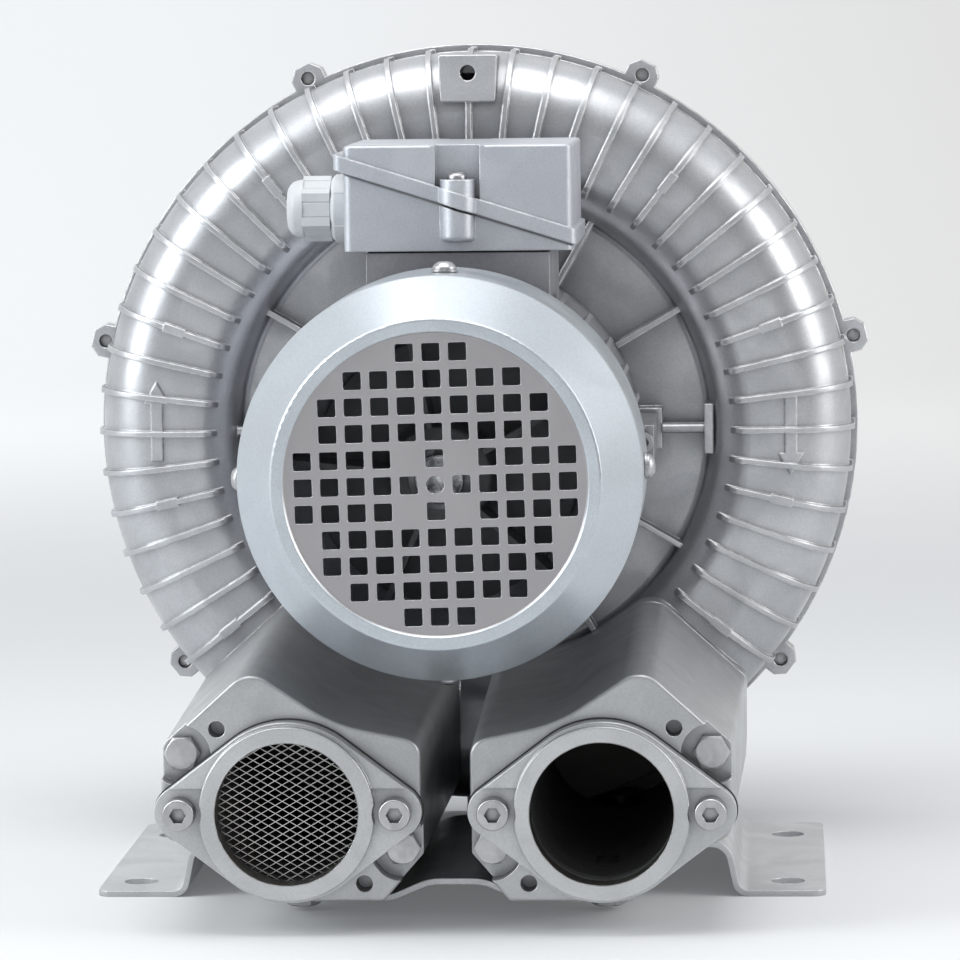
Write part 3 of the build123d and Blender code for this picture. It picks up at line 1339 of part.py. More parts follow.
def foam_liner(side):
    """Sound-absorbing insert that fills the silencer round its bore."""
    front_y = silencer_front_y + silencer_front_wall + foam_gap
    back_y = silencer_back_y - 4
    inset = -silencer_wall - foam_gap
    with BuildPart() as liner:
        with BuildSketch(front_plane(back_y)) as section:
            add(silencer_profile(side, 0, inset, inset).sketch_local)
            with Locations(*column_spots(side)):
                Circle(column_radius + foam_gap, mode=Mode.SUBTRACT)
            with Locations((side * port_x, port_z)):
                Circle(foam_bore_radius, mode=Mode.SUBTRACT)
        extrude(section.sketch, amount=back_y - front_y)
        upright(0.0, port_z - bottom_radius + 8, column_radius + foam_gap, side * port_x, base_screw_ys[0],
                mode=Mode.SUBTRACT)
    return liner.part


with BuildPart() as foam_liner_left:
    add(foam_liner(-1))
foam_liner_left.part.label = "foam_liner_left"

with BuildPart() as foam_liner_right:
    add(foam_liner(1))
foam_liner_right.part.label = "foam_liner_right"

with BuildPart() as silencer_gaskets:
    for side in (-1, 1):
        with BuildSketch(front_plane(stub_front_y)) as gasket_face:
            add(silencer_profile(side, 0, silencer_draft - 0.6, -0.6).sketch_local)
            add(silencer_profile(side, 0, -silencer_wall, -silencer_wall).sketch_local, mode=Mode.SUBTRACT)
            with Locations(*column_spots(side)):
                Circle(column_radius)
                Circle(m8_radius + bolt_shank_gap, mode=Mode.SUBTRACT)
        extrude(gasket_face.sketch, amount=silencer_gasket_thickness)
silencer_gaskets.part.label = "silencer_gaskets"

with BuildPart() as silencer_bolts:
    head_seat_y = silencer_front_y + pocket_depth
    for side in (-1, 1):
        for spot_x, spot_z in column_spots(side):
            rod(head_seat_y, stub_front_y + 11, m8_radius, spot_x, spot_z)
            with Locations(front_plane(head_seat_y, spot_x, spot_z).location):
                add(hex_head(m8_hex, m8_hex_height))
silencer_bolts.part.label = "silencer_bolts"


# ------------------------------------------------------------------------------- ports
pad_y = flange_front_y + flange_pad_drop


def flange_face(side, y, grow=0.0):
    """Two-lug flange outline round one port."""
    with BuildSketch(front_plane(y, side * port_x, port_z)) as face:
        Circle(flange_body_radius + grow)
        with Locations((-flange_screw_reach, 0), (flange_screw_reach, 0)):
            Circle(flange_lug_radius + grow)
        make_hull()
    return face.sketch


def flange_holes(y0, y1, bore):
    """Port bore and screw holes of both flanges, cut from the current part."""
    for side in (-1, 1):
        rod(y0, y1, bore, side * port_x, port_z, mode=Mode.SUBTRACT)
        for reach in (-flange_screw_reach, flange_screw_reach):
            rod(y0, y1, m8_radius + bolt_shank_gap, side * port_x + reach, port_z, mode=Mode.SUBTRACT)


def port_flange(side):
    """Threaded port flange with a raised collar, thinner below the screws than above them."""
    collar_front_y = flange_front_y - port_collar_reach
    with BuildPart() as flange:
        extrude(flange_face(side, flange_back_y), amount=flange_thickness)
        fillet(flange.edges().group_by(Axis.Y)[0], 0.7)
        with BuildSketch(front_plane(flange_front_y, side * port_x, port_z)) as low_half:
            with Locations((0, flange_pad_top)):
                Rectangle(4 * flange_screw_reach, 2 * flange_body_radius, align=(Align.CENTER, Align.MAX))
        extrude(low_half.sketch, amount=-flange_pad_drop, mode=Mode.SUBTRACT)
        rod(collar_front_y, flange_back_y - 0.5, port_collar_radius, side * port_x, port_z)
        fillet(flange.edges().group_by(Axis.Y)[0], 0.8)
        for reach in (-flange_screw_reach, flange_screw_reach):
            rod(collar_front_y - 1, pad_y, spot_face_radius, side * port_x + reach, port_z,
                mode=Mode.SUBTRACT)
        flange_holes(collar_front_y, flange_back_y, port_radius)
    return flange.part


with BuildPart() as port_flange_left:
    add(port_flange(-1))
port_flange_left.part.label = "port_flange_left"

with BuildPart() as port_flange_right:
    add(port_flange(1))
port_flange_right.part.label = "port_flange_right"

with BuildPart() as flange_gaskets:
    for side in (-1, 1):
        extrude(flange_face(side, silencer_front_y, 0.5), amount=flange_gasket_thickness)
    flange_holes(flange_back_y, silencer_front_y, port_radius + 1.5)
flange_gaskets.part.label = "flange_gaskets"

with BuildPart() as flange_screws:
    for side in (-1, 1):
        for reach in (-flange_screw_reach, flange_screw_reach):
            screw_x = side * port_x + reach
            rod(pad_y - 2 * m8_radius, pad_y, m8_cap_head / 2, screw_x, port_z)
    fillet(flange_screws.edges().group_by(Axis.Y)[0], 0.9)
    for side in (-1, 1):
        for reach in (-flange_screw_reach, flange_screw_reach):
            screw_x = side * port_x + reach
            rod(pad_y, silencer_front_y + tap_depth, m8_radius, screw_x, port_z)
            hex_bar(pad_y - 2 * m8_radius, pad_y - m8_radius, m8_socket, screw_x, port_z,
                    mode=Mode.SUBTRACT)
flange_screws.part.label = "flange_screws"

with BuildPart() as inlet_screen:
    screen_radius = port_radius + 2.8
    wire_count = int(2 * screen_radius / screen_pitch) + 1
    screen_back_y = silencer_front_y + screen_seat_depth
    with BuildSketch(front_plane(screen_back_y, -port_x, port_z)) as mesh:
        for lean in (-screen_angle, screen_angle):
            with Locations(Location((0, 0, 0), (0, 0, lean))):
                with GridLocations(0, screen_pitch, 1, wire_count):
                    Rectangle(2 * screen_radius + 4, screen_wire)
        Circle(screen_radius - screen_rim / 2, mode=Mode.INTERSECT)
    extrude(mesh.sketch, amount=0.6)
    with BuildSketch(front_plane(screen_back_y, -port_x, port_z)) as rim:
        Circle(screen_radius)
        Circle(screen_radius - screen_rim, mode=Mode.SUBTRACT)
    extrude(rim.sketch, amount=screen_seat_depth)
inlet_screen.part.label = "inlet_screen"


# ---------------------------------------------------------------------------------- base
def sheet_strip(points, y0, y1, radii=bend_radius):
    """Bent sheet along Y: the underside line thickened upwards."""
    with BuildSketch(front_plane(y1)) as strip:
        with BuildLine():
            FilletPolyline(*points, radius=radii)
            offset(amount=sheet_thickness, side=Side.LEFT)
        make_face()
    extrude(strip.sketch, amount=y1 - y0)


with BuildPart() as base_plate:
    left_slope = [(-shoulder_x - 7, riser_top_z), (-shoulder_x, riser_top_z), (-cradle_x, cradle_z)]
    right_slope = [(-px, pz) for px, pz in reversed(left_slope)]
    hump = [(hump_x - hump_foot_reach, cradle_z), (hump_x - hump_top_reach, hump_top_z),
            (hump_x + hump_top_reach, hump_top_z), (hump_x + hump_foot_reach, cradle_z)]
    hump_bends = [hump_bend_radius] * 4
    slope_bends = [bend_radius] * 2
    sheet_strip([(-tongue_x, cradle_z)] + hump + [(tongue_x, cradle_z)], cradle_front_y, foot_front_y + 1,
                hump_bends)
    sheet_strip(left_slope + hump + right_slope, foot_front_y, hump_back_y,
                slope_bends + hump_bends + slope_bends)
    sheet_strip(left_slope + right_slope, hump_back_y - 1, cradle_back_y)
    left_foot = [(-foot_outer_x, 0.0), (-foot_bend_x, 0.0), (-riser_top_x, riser_top_z),
                 (-shoulder_x - 4, riser_top_z)]
    sheet_strip(left_foot, foot_front_y, foot_back_y)
    sheet_strip([(-px, pz) for px, pz in reversed(left_foot)], foot_front_y, foot_back_y)
    foot_ends = [edge for edge in base_plate.edges().filter_by(Axis.Z)
                 if abs(edge.center().X) > foot_outer_x - 1]
    fillet(foot_ends, foot_corner)
    with GridLocations(foot_hole_x, foot_hole_y, 2, 2):
        Cylinder(foot_hole_radius, 3 * sheet_thickness, mode=Mode.SUBTRACT)
    for screw_y in base_screw_ys:
        for side in (-1, 1):
            upright(cradle_z - 1, cradle_top_z + 1, m8_radius + bolt_shank_gap, side * port_x, screw_y,
                    mode=Mode.SUBTRACT)
base_plate.part.label = "base_plate"

with BuildPart() as base_screws:
    for screw_y in base_screw_ys:
        for side in (-1, 1):
            upright(cradle_z, cradle_top_z + 7, m8_radius, side * port_x, screw_y)
            with Locations(Plane((side * port_x, screw_y, cradle_z), z_dir=(0, 0, -1)).location):
                add(hex_head(m8_hex, m8_hex_height))
base_screws.part.label = "base_screws"

# -------------------------------------------------------------------------------- export
os.makedirs("parts", exist_ok=True)
export_step(channel_casing.part, "parts/channel_casing.step")
export_step(channel_cover.part, "parts/channel_cover.step")
export_step(cover_screws.part, "parts/cover_screws.step")
export_step(impeller.part, "parts/impeller.step")
export_step(impeller_key.part, "parts/impeller_key.step")
export_step(impeller_washer.part, "parts/impeller_washer.step")
export_step(impeller_screw.part, "parts/impeller_screw.step")
export_step(motor_shaft.part, "parts/motor_shaft.step")
export_step(rotor_core.part, "parts/rotor_core.step")
export_step(drive_bearing_outer.part, "parts/drive_bearing_outer.step")
export_step(drive_bearing_inner.part, "parts/drive_bearing_inner.step")
export_step(drive_bearing_balls.part, "parts/drive_bearing_balls.step")
export_step(drive_bearing_cage.part, "parts/drive_bearing_cage.step")
export_step(rear_bearing_outer.part, "parts/rear_bearing_outer.step")
export_step(rear_bearing_inner.part, "parts/rear_bearing_inner.step")
export_step(rear_bearing_balls.part, "parts/rear_bearing_balls.step")
export_step(rear_bearing_cage.part, "parts/rear_bearing_cage.step")
export_step(shaft_seal.part, "parts/shaft_seal.step")
export_step(motor_housing.part, "parts/motor_housing.step")
export_step(motor_bolts.part, "parts/motor_bolts.step")
export_step(stator_core.part, "parts/stator_core.step")
export_step(stator_winding.part, "parts/stator_winding.step")
export_step(rear_end_shield.part, "parts/rear_end_shield.step")
export_step(shield_screws.part, "parts/shield_screws.step")
export_step(preload_washer.part, "parts/preload_washer.step")
export_step(cooling_fan.part, "parts/cooling_fan.step")
export_step(fan_circlip.part, "parts/fan_circlip.step")
export_step(fan_cowl.part, "parts/fan_cowl.step")
export_step(cowl_washers.part, "parts/cowl_washers.step")
export_step(cowl_screws.part, "parts/cowl_screws.step")
export_step(terminal_box.part, "parts/terminal_box.step")
export_step(lid_gasket.part, "parts/lid_gasket.step")
export_step(terminal_lid.part, "parts/terminal_lid.step")
export_step(lid_screws.part, "parts/lid_screws.step")
export_step(box_gasket.part, "parts/box_gasket.step")
export_step(box_screws.part, "parts/box_screws.step")
export_step(terminal_board.part, "parts/terminal_board.step")
export_step(terminal_studs.part, "parts/terminal_studs.step")
export_step(terminal_links.part, "parts/terminal_links.step")
export_step(gland_body.part, "parts/gland_body.step")
export_step(gland_cap.part, "parts/gland_cap.step")
export_step(gland_seal.part, "parts/gland_seal.step")
export_step(gland_locknut.part, "parts/gland_locknut.step")
export_step(silencer_left.part, "parts/silencer_left.step")
export_step(silencer_right.part, "parts/silencer_right.step")
export_step(foam_liner_left.part, "parts/foam_liner_left.step")
export_step(foam_liner_right.part, "parts/foam_liner_right.step")
export_step(silencer_gaskets.part, "parts/silencer_gaskets.step")
export_step(silencer_bolts.part, "parts/silencer_bolts.step")
export_step(port_flange_left.part, "parts/port_flange_left.step")
export_step(port_flange_right.part, "parts/port_flange_right.step")
export_step(flange_gaskets.part, "parts/flange_gaskets.step")
export_step(flange_screws.part, "parts/flange_screws.step")
export_step(inlet_screen.part, "parts/inlet_screen.step")
export_step(base_plate.part, "parts/base_plate.step")
export_step(base_screws.part, "parts/base_screws.step")
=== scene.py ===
"""Looks of the side channel blower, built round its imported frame. Metres, +Z up."""

from __future__ import annotations

import json
import logging
import math
from dataclasses import dataclass, field, replace
from enum import Enum

import bpy
from mathutils import Matrix, Vector

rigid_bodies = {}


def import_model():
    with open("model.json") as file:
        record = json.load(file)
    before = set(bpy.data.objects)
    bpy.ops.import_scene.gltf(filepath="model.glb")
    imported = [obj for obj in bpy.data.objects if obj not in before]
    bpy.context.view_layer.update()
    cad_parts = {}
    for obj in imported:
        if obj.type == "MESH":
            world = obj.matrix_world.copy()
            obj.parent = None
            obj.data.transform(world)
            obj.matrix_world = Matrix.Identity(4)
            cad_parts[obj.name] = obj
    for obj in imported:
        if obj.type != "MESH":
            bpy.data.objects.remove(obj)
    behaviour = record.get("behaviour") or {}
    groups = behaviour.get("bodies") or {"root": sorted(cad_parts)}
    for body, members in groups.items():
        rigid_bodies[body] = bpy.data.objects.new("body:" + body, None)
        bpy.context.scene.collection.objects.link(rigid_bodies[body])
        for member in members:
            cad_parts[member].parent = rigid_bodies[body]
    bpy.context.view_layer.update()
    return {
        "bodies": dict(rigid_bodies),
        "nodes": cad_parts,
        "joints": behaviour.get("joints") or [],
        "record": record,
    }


LOG = logging.getLogger("blower")
SHAFT_HEIGHT = 0.186
PORT_SIDE = 0.0635
PORT_HEIGHT = 0.0505
GRILLE_RADIUS = 0.0605
GRILLE_BACK = -0.1955
DUCT_RADIUS = 0.0335
DUCT_BACK = 0.0775
BORE_RADIUS = 0.0293
Colour = tuple[float, float, float]


# ------------------------------------------------------------------------ node trees
class Nodes:
    """Short-hand for building one node tree."""

    def __init__(self, tree: bpy.types.NodeTree) -> None:
        """Keep the tree that the nodes go into.

        Args:
            tree: shader tree of a material, a group or the world.
        """
        self.tree = tree

    def add(self, kind: str, **sockets: object) -> bpy.types.Node:
        """Add one node.

        Args:
            kind: Blender's name for the node type.
            **sockets: input values by name, with underscores for spaces; a socket is linked.

        Returns:
            The new node.
        """
        node = self.tree.nodes.new(kind)
        for name, value in sockets.items():
            self.feed(node, name.replace("_", " "), value)
        return node

    def feed(self, node: bpy.types.Node, name: str | int, value: object) -> None:
        """Set or link one input of a node.

        Args:
            node: node that is fed.
            name: name or index of the input.
            value: a number, a colour or an output socket.
        """
        socket = node.inputs[name]
        if isinstance(value, bpy.types.NodeSocket):
            self.tree.links.new(value, socket)
        elif isinstance(value, tuple) and len(value) == 3 and socket.type == "RGBA":
            socket.default_value = (*value, 1.0)
        else:
            socket.default_value = value

    def math(self, operation: str, a: object, b: object = 0.0) -> bpy.types.NodeSocket:
        """Combine two values.

        Args:
            operation: name of the Math operation.
            a: first value or socket.
            b: second value or socket.

        Returns:
            The result's socket.
        """
        node = self.tree.nodes.new("ShaderNodeMath")
        node.operation = operation
        self.feed(node, 0, a)
        self.feed(node, 1, b)
        return node.outputs[0]

    def spread(self, value: object, low: float, high: float, start: float = 0.0, end: float = 1.0,
               ) -> bpy.types.NodeSocket:
        """Map a value smoothly from one range to another.

        Args:
            value: socket that is mapped.
            low: lower end of its own range.
            high: upper end of its own range.
            start: result at the lower end.
            end: result at the upper end.

        Returns:
            The result's socket.
        """
        node = self.tree.nodes.new("ShaderNodeMapRange")
        node.interpolation_type = "SMOOTHSTEP"
        for index, number in enumerate((value, low, high, start, end)):
            self.feed(node, index, number)
        return node.outputs[0]

    def blend(self, factor: object, a: object, b: object, mode: str = "MIX") -> bpy.types.NodeSocket:
        """Mix two colours.

        Args:
            factor: share of the second colour.
            a: first colour or socket.
            b: second colour or socket.
            mode: blend type.

        Returns:
            The mixed colour's socket.
        """
        node = self.tree.nodes.new("ShaderNodeMix")
        node.data_type = "RGBA"
        node.blend_type = mode
        self.feed(node, 0, factor)
        self.feed(node, 6, a)
        self.feed(node, 7, b)
        return node.outputs[2]


class EffectGroup:
    """A shader node group that several finishes share; made once, on first use."""

    title = "effect"
    inputs: tuple[tuple[str, str, float], ...] = ()
    outputs: tuple[tuple[str, str], ...] = ()
    made: dict[str, bpy.types.NodeTree] = {}

    def build(self, nodes: Nodes, given: dict[str, bpy.types.NodeSocket]) -> dict[str, bpy.types.NodeSocket]:
        """Fill the group's tree.

        Args:
            nodes: the group's tree.
            given: the group's inputs by name.

        Returns:
            The group's outputs by name.
        """
        raise NotImplementedError

    def place(self, nodes: Nodes, **values: object) -> bpy.types.Node:
        """Place the group in a material.

        Args:
            nodes: tree of the material.
            **values: input values by name.

        Returns:
            The group node.
        """
        if self.title not in self.made:
            tree = bpy.data.node_groups.new(self.title, "ShaderNodeTree")
            for name, kind, value in self.inputs:
                socket = tree.interface.new_socket(name, in_out="INPUT", socket_type=kind)
                socket.default_value = value
            for name, kind in self.outputs:
                tree.interface.new_socket(name, in_out="OUTPUT", socket_type=kind)
            own = Nodes(tree)
            entry = own.add("NodeGroupInput")
            leave = own.add("NodeGroupOutput")
            results = self.build(own, {name: entry.outputs[name] for name, _, _ in self.inputs})
            for name, socket in results.items():
                own.feed(leave, name, socket)
            self.made[self.title] = tree
        node = nodes.tree.nodes.new("ShaderNodeGroup")
        node.node_tree = self.made[self.title]
        for name, value in values.items():
            nodes.feed(node, name.replace("_", " "), value)
        return node


class SoftEdges(EffectGroup):
    """Rounded edges in the shading, and a mask of where they are."""

    title = "soft_edges"
    inputs = (("Radius", "NodeSocketFloat", 0.0006),)
    outputs = (("Normal", "NodeSocketVector"), ("Mask", "NodeSocketFloat"))

    def build(self, nodes: Nodes, given: dict[str, bpy.types.NodeSocket]) -> dict[str, bpy.types.NodeSocket]:
        """Compare the rounded normal with the true one."""
        bevel = nodes.add("ShaderNodeBevel", Radius=given["Radius"])
        bevel.samples = 6
        geometry = nodes.add("ShaderNodeNewGeometry")
        dot = nodes.add("ShaderNodeVectorMath")
        dot.operation = "DOT_PRODUCT"
        nodes.feed(dot, 0, bevel.outputs[0])
        nodes.feed(dot, 1, geometry.outputs["True Normal"])
        mask = nodes.spread(dot.outputs["Value"], 0.995, 0.82)
        return {"Normal": bevel.outputs[0], "Mask": mask}


class CastGrain(EffectGroup):
    """Orange-peel paint over the fine grain of a die casting."""

    title = "cast_grain"
    inputs = (("Scale", "NodeSocketFloat", 900.0), ("Coarse", "NodeSocketFloat", 0.4))
    outputs = (("Height", "NodeSocketFloat"), ("Fine", "NodeSocketFloat"))

    def build(self, nodes: Nodes, given: dict[str, bpy.types.NodeSocket]) -> dict[str, bpy.types.NodeSocket]:
        """Add fine noise and a coarser swell."""
        place = nodes.add("ShaderNodeTexCoord").outputs["Object"]
        fine = nodes.add("ShaderNodeTexNoise", Vector=place, Scale=given["Scale"], Detail=4.0, Roughness=0.62)
        swell_scale = nodes.math("MULTIPLY", given["Scale"], 0.13)
        swell = nodes.add("ShaderNodeTexNoise", Vector=place, Scale=swell_scale, Detail=3.0, Roughness=0.5)
        coarse = nodes.math("MULTIPLY", swell.outputs[0], given["Coarse"])
        height = nodes.math("ADD", fine.outputs[0], coarse)
        return {"Height": height, "Fine": fine.outputs[0]}


class Mottle(EffectGroup):
    """Slow cloudy variation of colour and gloss."""

    title = "mottle"
    inputs = (("Scale", "NodeSocketFloat", 40.0),)
    outputs = (("Cloud", "NodeSocketFloat"), ("Streak", "NodeSocketFloat"))

    def build(self, nodes: Nodes, given: dict[str, bpy.types.NodeSocket]) -> dict[str, bpy.types.NodeSocket]:
        """Mix warped noise with short streaks."""
        place = nodes.add("ShaderNodeTexCoord").outputs["Object"]
        cloud = nodes.add("ShaderNodeTexNoise", Vector=place, Scale=given["Scale"], Detail=5.0,
                          Roughness=0.55, Distortion=0.6)
        squeezed = nodes.add("ShaderNodeMapping", Vector=place, Scale=(1.0, 0.12, 1.0))
        streak = nodes.add("ShaderNodeTexNoise", Vector=squeezed.outputs[0],
                           Scale=nodes.math("MULTIPLY", given["Scale"], 6.0), Detail=3.0)
        return {
            "Cloud": nodes.spread(cloud.outputs[0], 0.3, 0.7),
            "Streak": nodes.spread(streak.outputs[0], 0.35, 0.7),
        }


class SettledDust(EffectGroup):
    """Fine dust that lies on faces which look up."""

    title = "settled_dust"
    inputs = (("Amount", "NodeSocketFloat", 0.2),)
    outputs = (("Mask", "NodeSocketFloat"),)

    def build(self, nodes: Nodes, given: dict[str, bpy.types.NodeSocket]) -> dict[str, bpy.types.NodeSocket]:
        """Weigh the upward part of the normal with noise."""
        normal = nodes.add("ShaderNodeNewGeometry").outputs["Normal"]
        up = nodes.add("ShaderNodeSeparateXYZ", Vector=normal).outputs["Z"]
        place = nodes.add("ShaderNodeTexCoord").outputs["Object"]
        grain = nodes.add("ShaderNodeTexNoise", Vector=place, Scale=260.0, Detail=6.0, Roughness=0.7)
        patch = nodes.spread(grain.outputs[0], 0.35, 0.75)
        flat = nodes.spread(up, 0.45, 1.0)
        return {"Mask": nodes.math("MULTIPLY", nodes.math("MULTIPLY", flat, patch), given["Amount"])}


class CavityShade(EffectGroup):
    """Mask of creases, sockets and narrow gaps, which the finishes use to paint shade."""

    title = "cavity_shade"
    inputs = (("Reach", "NodeSocketFloat", 0.008),)
    outputs = (("Mask", "NodeSocketFloat"),)

    def build(self, nodes: Nodes, given: dict[str, bpy.types.NodeSocket]) -> dict[str, bpy.types.NodeSocket]:
        """Turn the share of open sky above a point into a mask."""
        sky = nodes.add("ShaderNodeAmbientOcclusion", Distance=given["Reach"])
        sky.samples = 6
        return {"Mask": nodes.spread(sky.outputs["AO"], 0.80, 0.15)}


class RoundZone(EffectGroup):
    """Mask of what lies round an axis along Y, alike on the left and on the right."""

    title = "round_zone"
    inputs = (("Side", "NodeSocketFloat", 0.0), ("Height", "NodeSocketFloat", SHAFT_HEIGHT),
              ("Inner", "NodeSocketFloat", -1.0), ("Outer", "NodeSocketFloat", 0.06),
              ("Back", "NodeSocketFloat", 1.0))
    outputs = (("Mask", "NodeSocketFloat"), ("Depth", "NodeSocketFloat"))

    def build(self, nodes: Nodes, given: dict[str, bpy.types.NodeSocket]) -> dict[str, bpy.types.NodeSocket]:
        """Compare the distance from the axis with both radii, and Y with the zone's back."""
        place = nodes.add("ShaderNodeTexCoord").outputs["Object"]
        axes = nodes.add("ShaderNodeSeparateXYZ", Vector=place)
        across = nodes.math("SUBTRACT", nodes.math("ABSOLUTE", axes.outputs["X"]), given["Side"])
        up = nodes.math("SUBTRACT", axes.outputs["Z"], given["Height"])
        squares = nodes.math("ADD", nodes.math("MULTIPLY", across, across), nodes.math("MULTIPLY", up, up))
        reach = nodes.math("SQRT", squares)
        within = nodes.math("MULTIPLY", nodes.math("LESS_THAN", reach, given["Outer"]),
                            nodes.math("GREATER_THAN", reach, given["Inner"]))
        ahead = nodes.math("LESS_THAN", axes.outputs["Y"], given["Back"])
        return {"Mask": nodes.math("MULTIPLY", within, ahead), "Depth": axes.outputs["Y"]}


SOFT_EDGES = SoftEdges()
CAST_GRAIN = CastGrain()
MOTTLE = Mottle()
SETTLED_DUST = SettledDust()
CAVITY_SHADE = CavityShade()
ROUND_ZONE = RoundZone()


# --------------------------------------------------------------------------- finishes
def new_material(name: str) -> tuple[bpy.types.Material, Nodes, bpy.types.Node]:
    """Make an empty material with a Principled shader.

    Args:
        name: name of the material.

    Returns:
        The material, its tree and its Principled node.
    """
    material = bpy.data.materials.new(name)
    material.use_nodes = True
    material.node_tree.nodes.clear()
    nodes = Nodes(material.node_tree)
    shader = nodes.add("ShaderNodeBsdfPrincipled")
    output = nodes.add("ShaderNodeOutputMaterial")
    material.node_tree.links.new(shader.outputs[0], output.inputs[0])
    return material, nodes, shader


class Zone(Enum):
    """Round part of a painted surface with a darker colour: painted shade in ducts and bores, partly painted
    shade on the grille.
    """

    NONE = "none"
    GRILLE = "grille"
    DUCT = "duct"
    THREAD = "thread"


class Finish:
    """A surface that can be put on a mesh."""

    name: str
    ready: dict[str, bpy.types.Material] = {}

    def shade(self) -> bpy.types.Material:
        """Build the material."""
        raise NotImplementedError

    def material(self) -> bpy.types.Material:
        """Return the material, built on first use."""
        if self.name not in self.ready:
            self.ready[self.name] = self.shade()
        return self.ready[self.name]

    def on(self, obj: bpy.types.Object) -> None:
        """Put the finish on every slot of an object.

        Args:
            obj: mesh object that is dressed.
        """
        material = self.material()
        if not obj.material_slots:
            obj.data.materials.append(material)
        for item in obj.material_slots:
            item.material = material


@dataclass(frozen=True)
class SilverPaint(Finish):
    """Metallic silver paint on a casting or on sheet."""

    name: str
    colour: Colour
    shadow: Colour
    metallic: float = 0.55
    roughness: float = 0.38
    grain: float = 1100.0
    coarse: float = 0.4
    relief: float = 0.00004
    edge: float = 0.0006
    # edges are lightened towards the pale colour below: partly wear, partly a painted highlight
    wear_and_highlight: float = 0.35
    bare_and_highlight: Colour = (0.86, 0.87, 0.88)
    dust: float = 0.12
    # strength, reach and near-black colour of the painted shade in creases
    crease_shade: float = 0.55
    crease_shade_reach: float = 0.008
    zone: Zone = Zone.NONE
    zone_tone_and_shade: Colour = (0.40, 0.39, 0.40)
    thread_pitch: float = 0.00231
    thread_height: float = 6.0
    thread_crest_highlight: Colour = (0.20, 0.19, 0.18)
    crease_shade_colour: Colour = (0.07, 0.07, 0.075)
    dust_colour: Colour = (0.62, 0.61, 0.59)

    def zoned(self, nodes: Nodes, tone: bpy.types.NodeSocket) -> tuple[object, object]:
        """Darken the zone of the surface; the darkening is painted shade, on the grille partly its own tone.

        Args:
            nodes: tree of the material.
            tone: colour of the rest of the surface.

        Returns:
            The colour's socket, and the height of the zone's thread or zero.
        """
        match self.zone:
            case Zone.GRILLE:
                # partly painted shade: the grille disc gets a darker grey, partly its own tone and partly the
                # shade of the dark room it faces
                disc = ROUND_ZONE.place(nodes, Outer=GRILLE_RADIUS, Back=GRILLE_BACK)
                return nodes.blend(disc.outputs["Mask"], tone, self.zone_tone_and_shade), 0.0
            case Zone.DUCT:
                # painted shade: the duct behind each port is made near black
                duct = ROUND_ZONE.place(nodes, Side=PORT_SIDE, Height=PORT_HEIGHT,
                                        Outer=DUCT_RADIUS, Back=DUCT_BACK)
                return nodes.blend(duct.outputs["Mask"], tone, self.zone_tone_and_shade), 0.0
            case Zone.THREAD:
                # painted shade: the threaded bore is made near black, with lighter thread crests as a painted
                # highlight
                bore = ROUND_ZONE.place(nodes, Side=PORT_SIDE, Height=PORT_HEIGHT,
                                        Outer=BORE_RADIUS)
                turns = nodes.math("MULTIPLY", bore.outputs["Depth"], math.tau / self.thread_pitch)
                ridge = nodes.math("MULTIPLY", nodes.math("SINE", turns), bore.outputs["Mask"])
                dark = nodes.blend(nodes.spread(ridge, -0.6, 0.9), self.zone_tone_and_shade, self.thread_crest_highlight)
                relief = nodes.math("MULTIPLY", ridge, self.thread_height)
                return nodes.blend(bore.outputs["Mask"], tone, dark), relief
        return tone, 0.0

    def shade(self) -> bpy.types.Material:
        """Build the paint from grain, mottling, painted shade in creases, edges lightened by wear and by a
        painted highlight, and a little dust.
        """
        material, nodes, shader = new_material(self.name)
        edges = SOFT_EDGES.place(nodes, Radius=self.edge)
        grain = CAST_GRAIN.place(nodes, Scale=self.grain, Coarse=self.coarse)
        mottle = MOTTLE.place(nodes, Scale=34.0)
        dust = SETTLED_DUST.place(nodes, Amount=self.dust)
        base = nodes.blend(mottle.outputs["Cloud"], self.shadow, self.colour)
        sparkle = nodes.spread(grain.outputs["Fine"], 0.3, 0.7, 0.93, 1.05)
        tone = nodes.add("ShaderNodeHueSaturation", Value=sparkle, Color=base).outputs[0]
        # wear and painted highlight: softened edges, rib crests and hole rims are lightened towards a pale
        # colour
        worn_and_highlight = nodes.math("MULTIPLY", edges.outputs["Mask"],
                          nodes.spread(mottle.outputs["Streak"], 0.0, 0.8, 0.35 * self.wear_and_highlight, self.wear_and_highlight))
        tone, thread = self.zoned(nodes, tone)
        # painted shade: creases, inside corners and gaps are darkened towards near black
        cavity_shade = CAVITY_SHADE.place(nodes, Reach=self.crease_shade_reach)
        crease_shade = nodes.math("MULTIPLY", cavity_shade.outputs["Mask"], self.crease_shade)
        tone = nodes.blend(crease_shade, tone, self.crease_shade_colour)
        tone = nodes.blend(worn_and_highlight, tone, self.bare_and_highlight)
        tone = nodes.blend(dust.outputs["Mask"], tone, self.dust_colour)
        nodes.feed(shader, "Base Color", tone)
        shader.inputs["Metallic"].default_value = self.metallic
        rough = nodes.spread(mottle.outputs["Cloud"], 0.0, 1.0, self.roughness + 0.05, self.roughness - 0.04)
        rough = nodes.math("ADD", rough, nodes.math("MULTIPLY", grain.outputs["Fine"], 0.05))
        nodes.feed(shader, "Roughness", rough)
        bump = nodes.add("ShaderNodeBump", Strength=1.0, Distance=self.relief,
                         Height=nodes.math("ADD", grain.outputs["Height"], thread),
                         Normal=edges.outputs["Normal"])
        nodes.feed(shader, "Normal", bump.outputs[0])
        return material


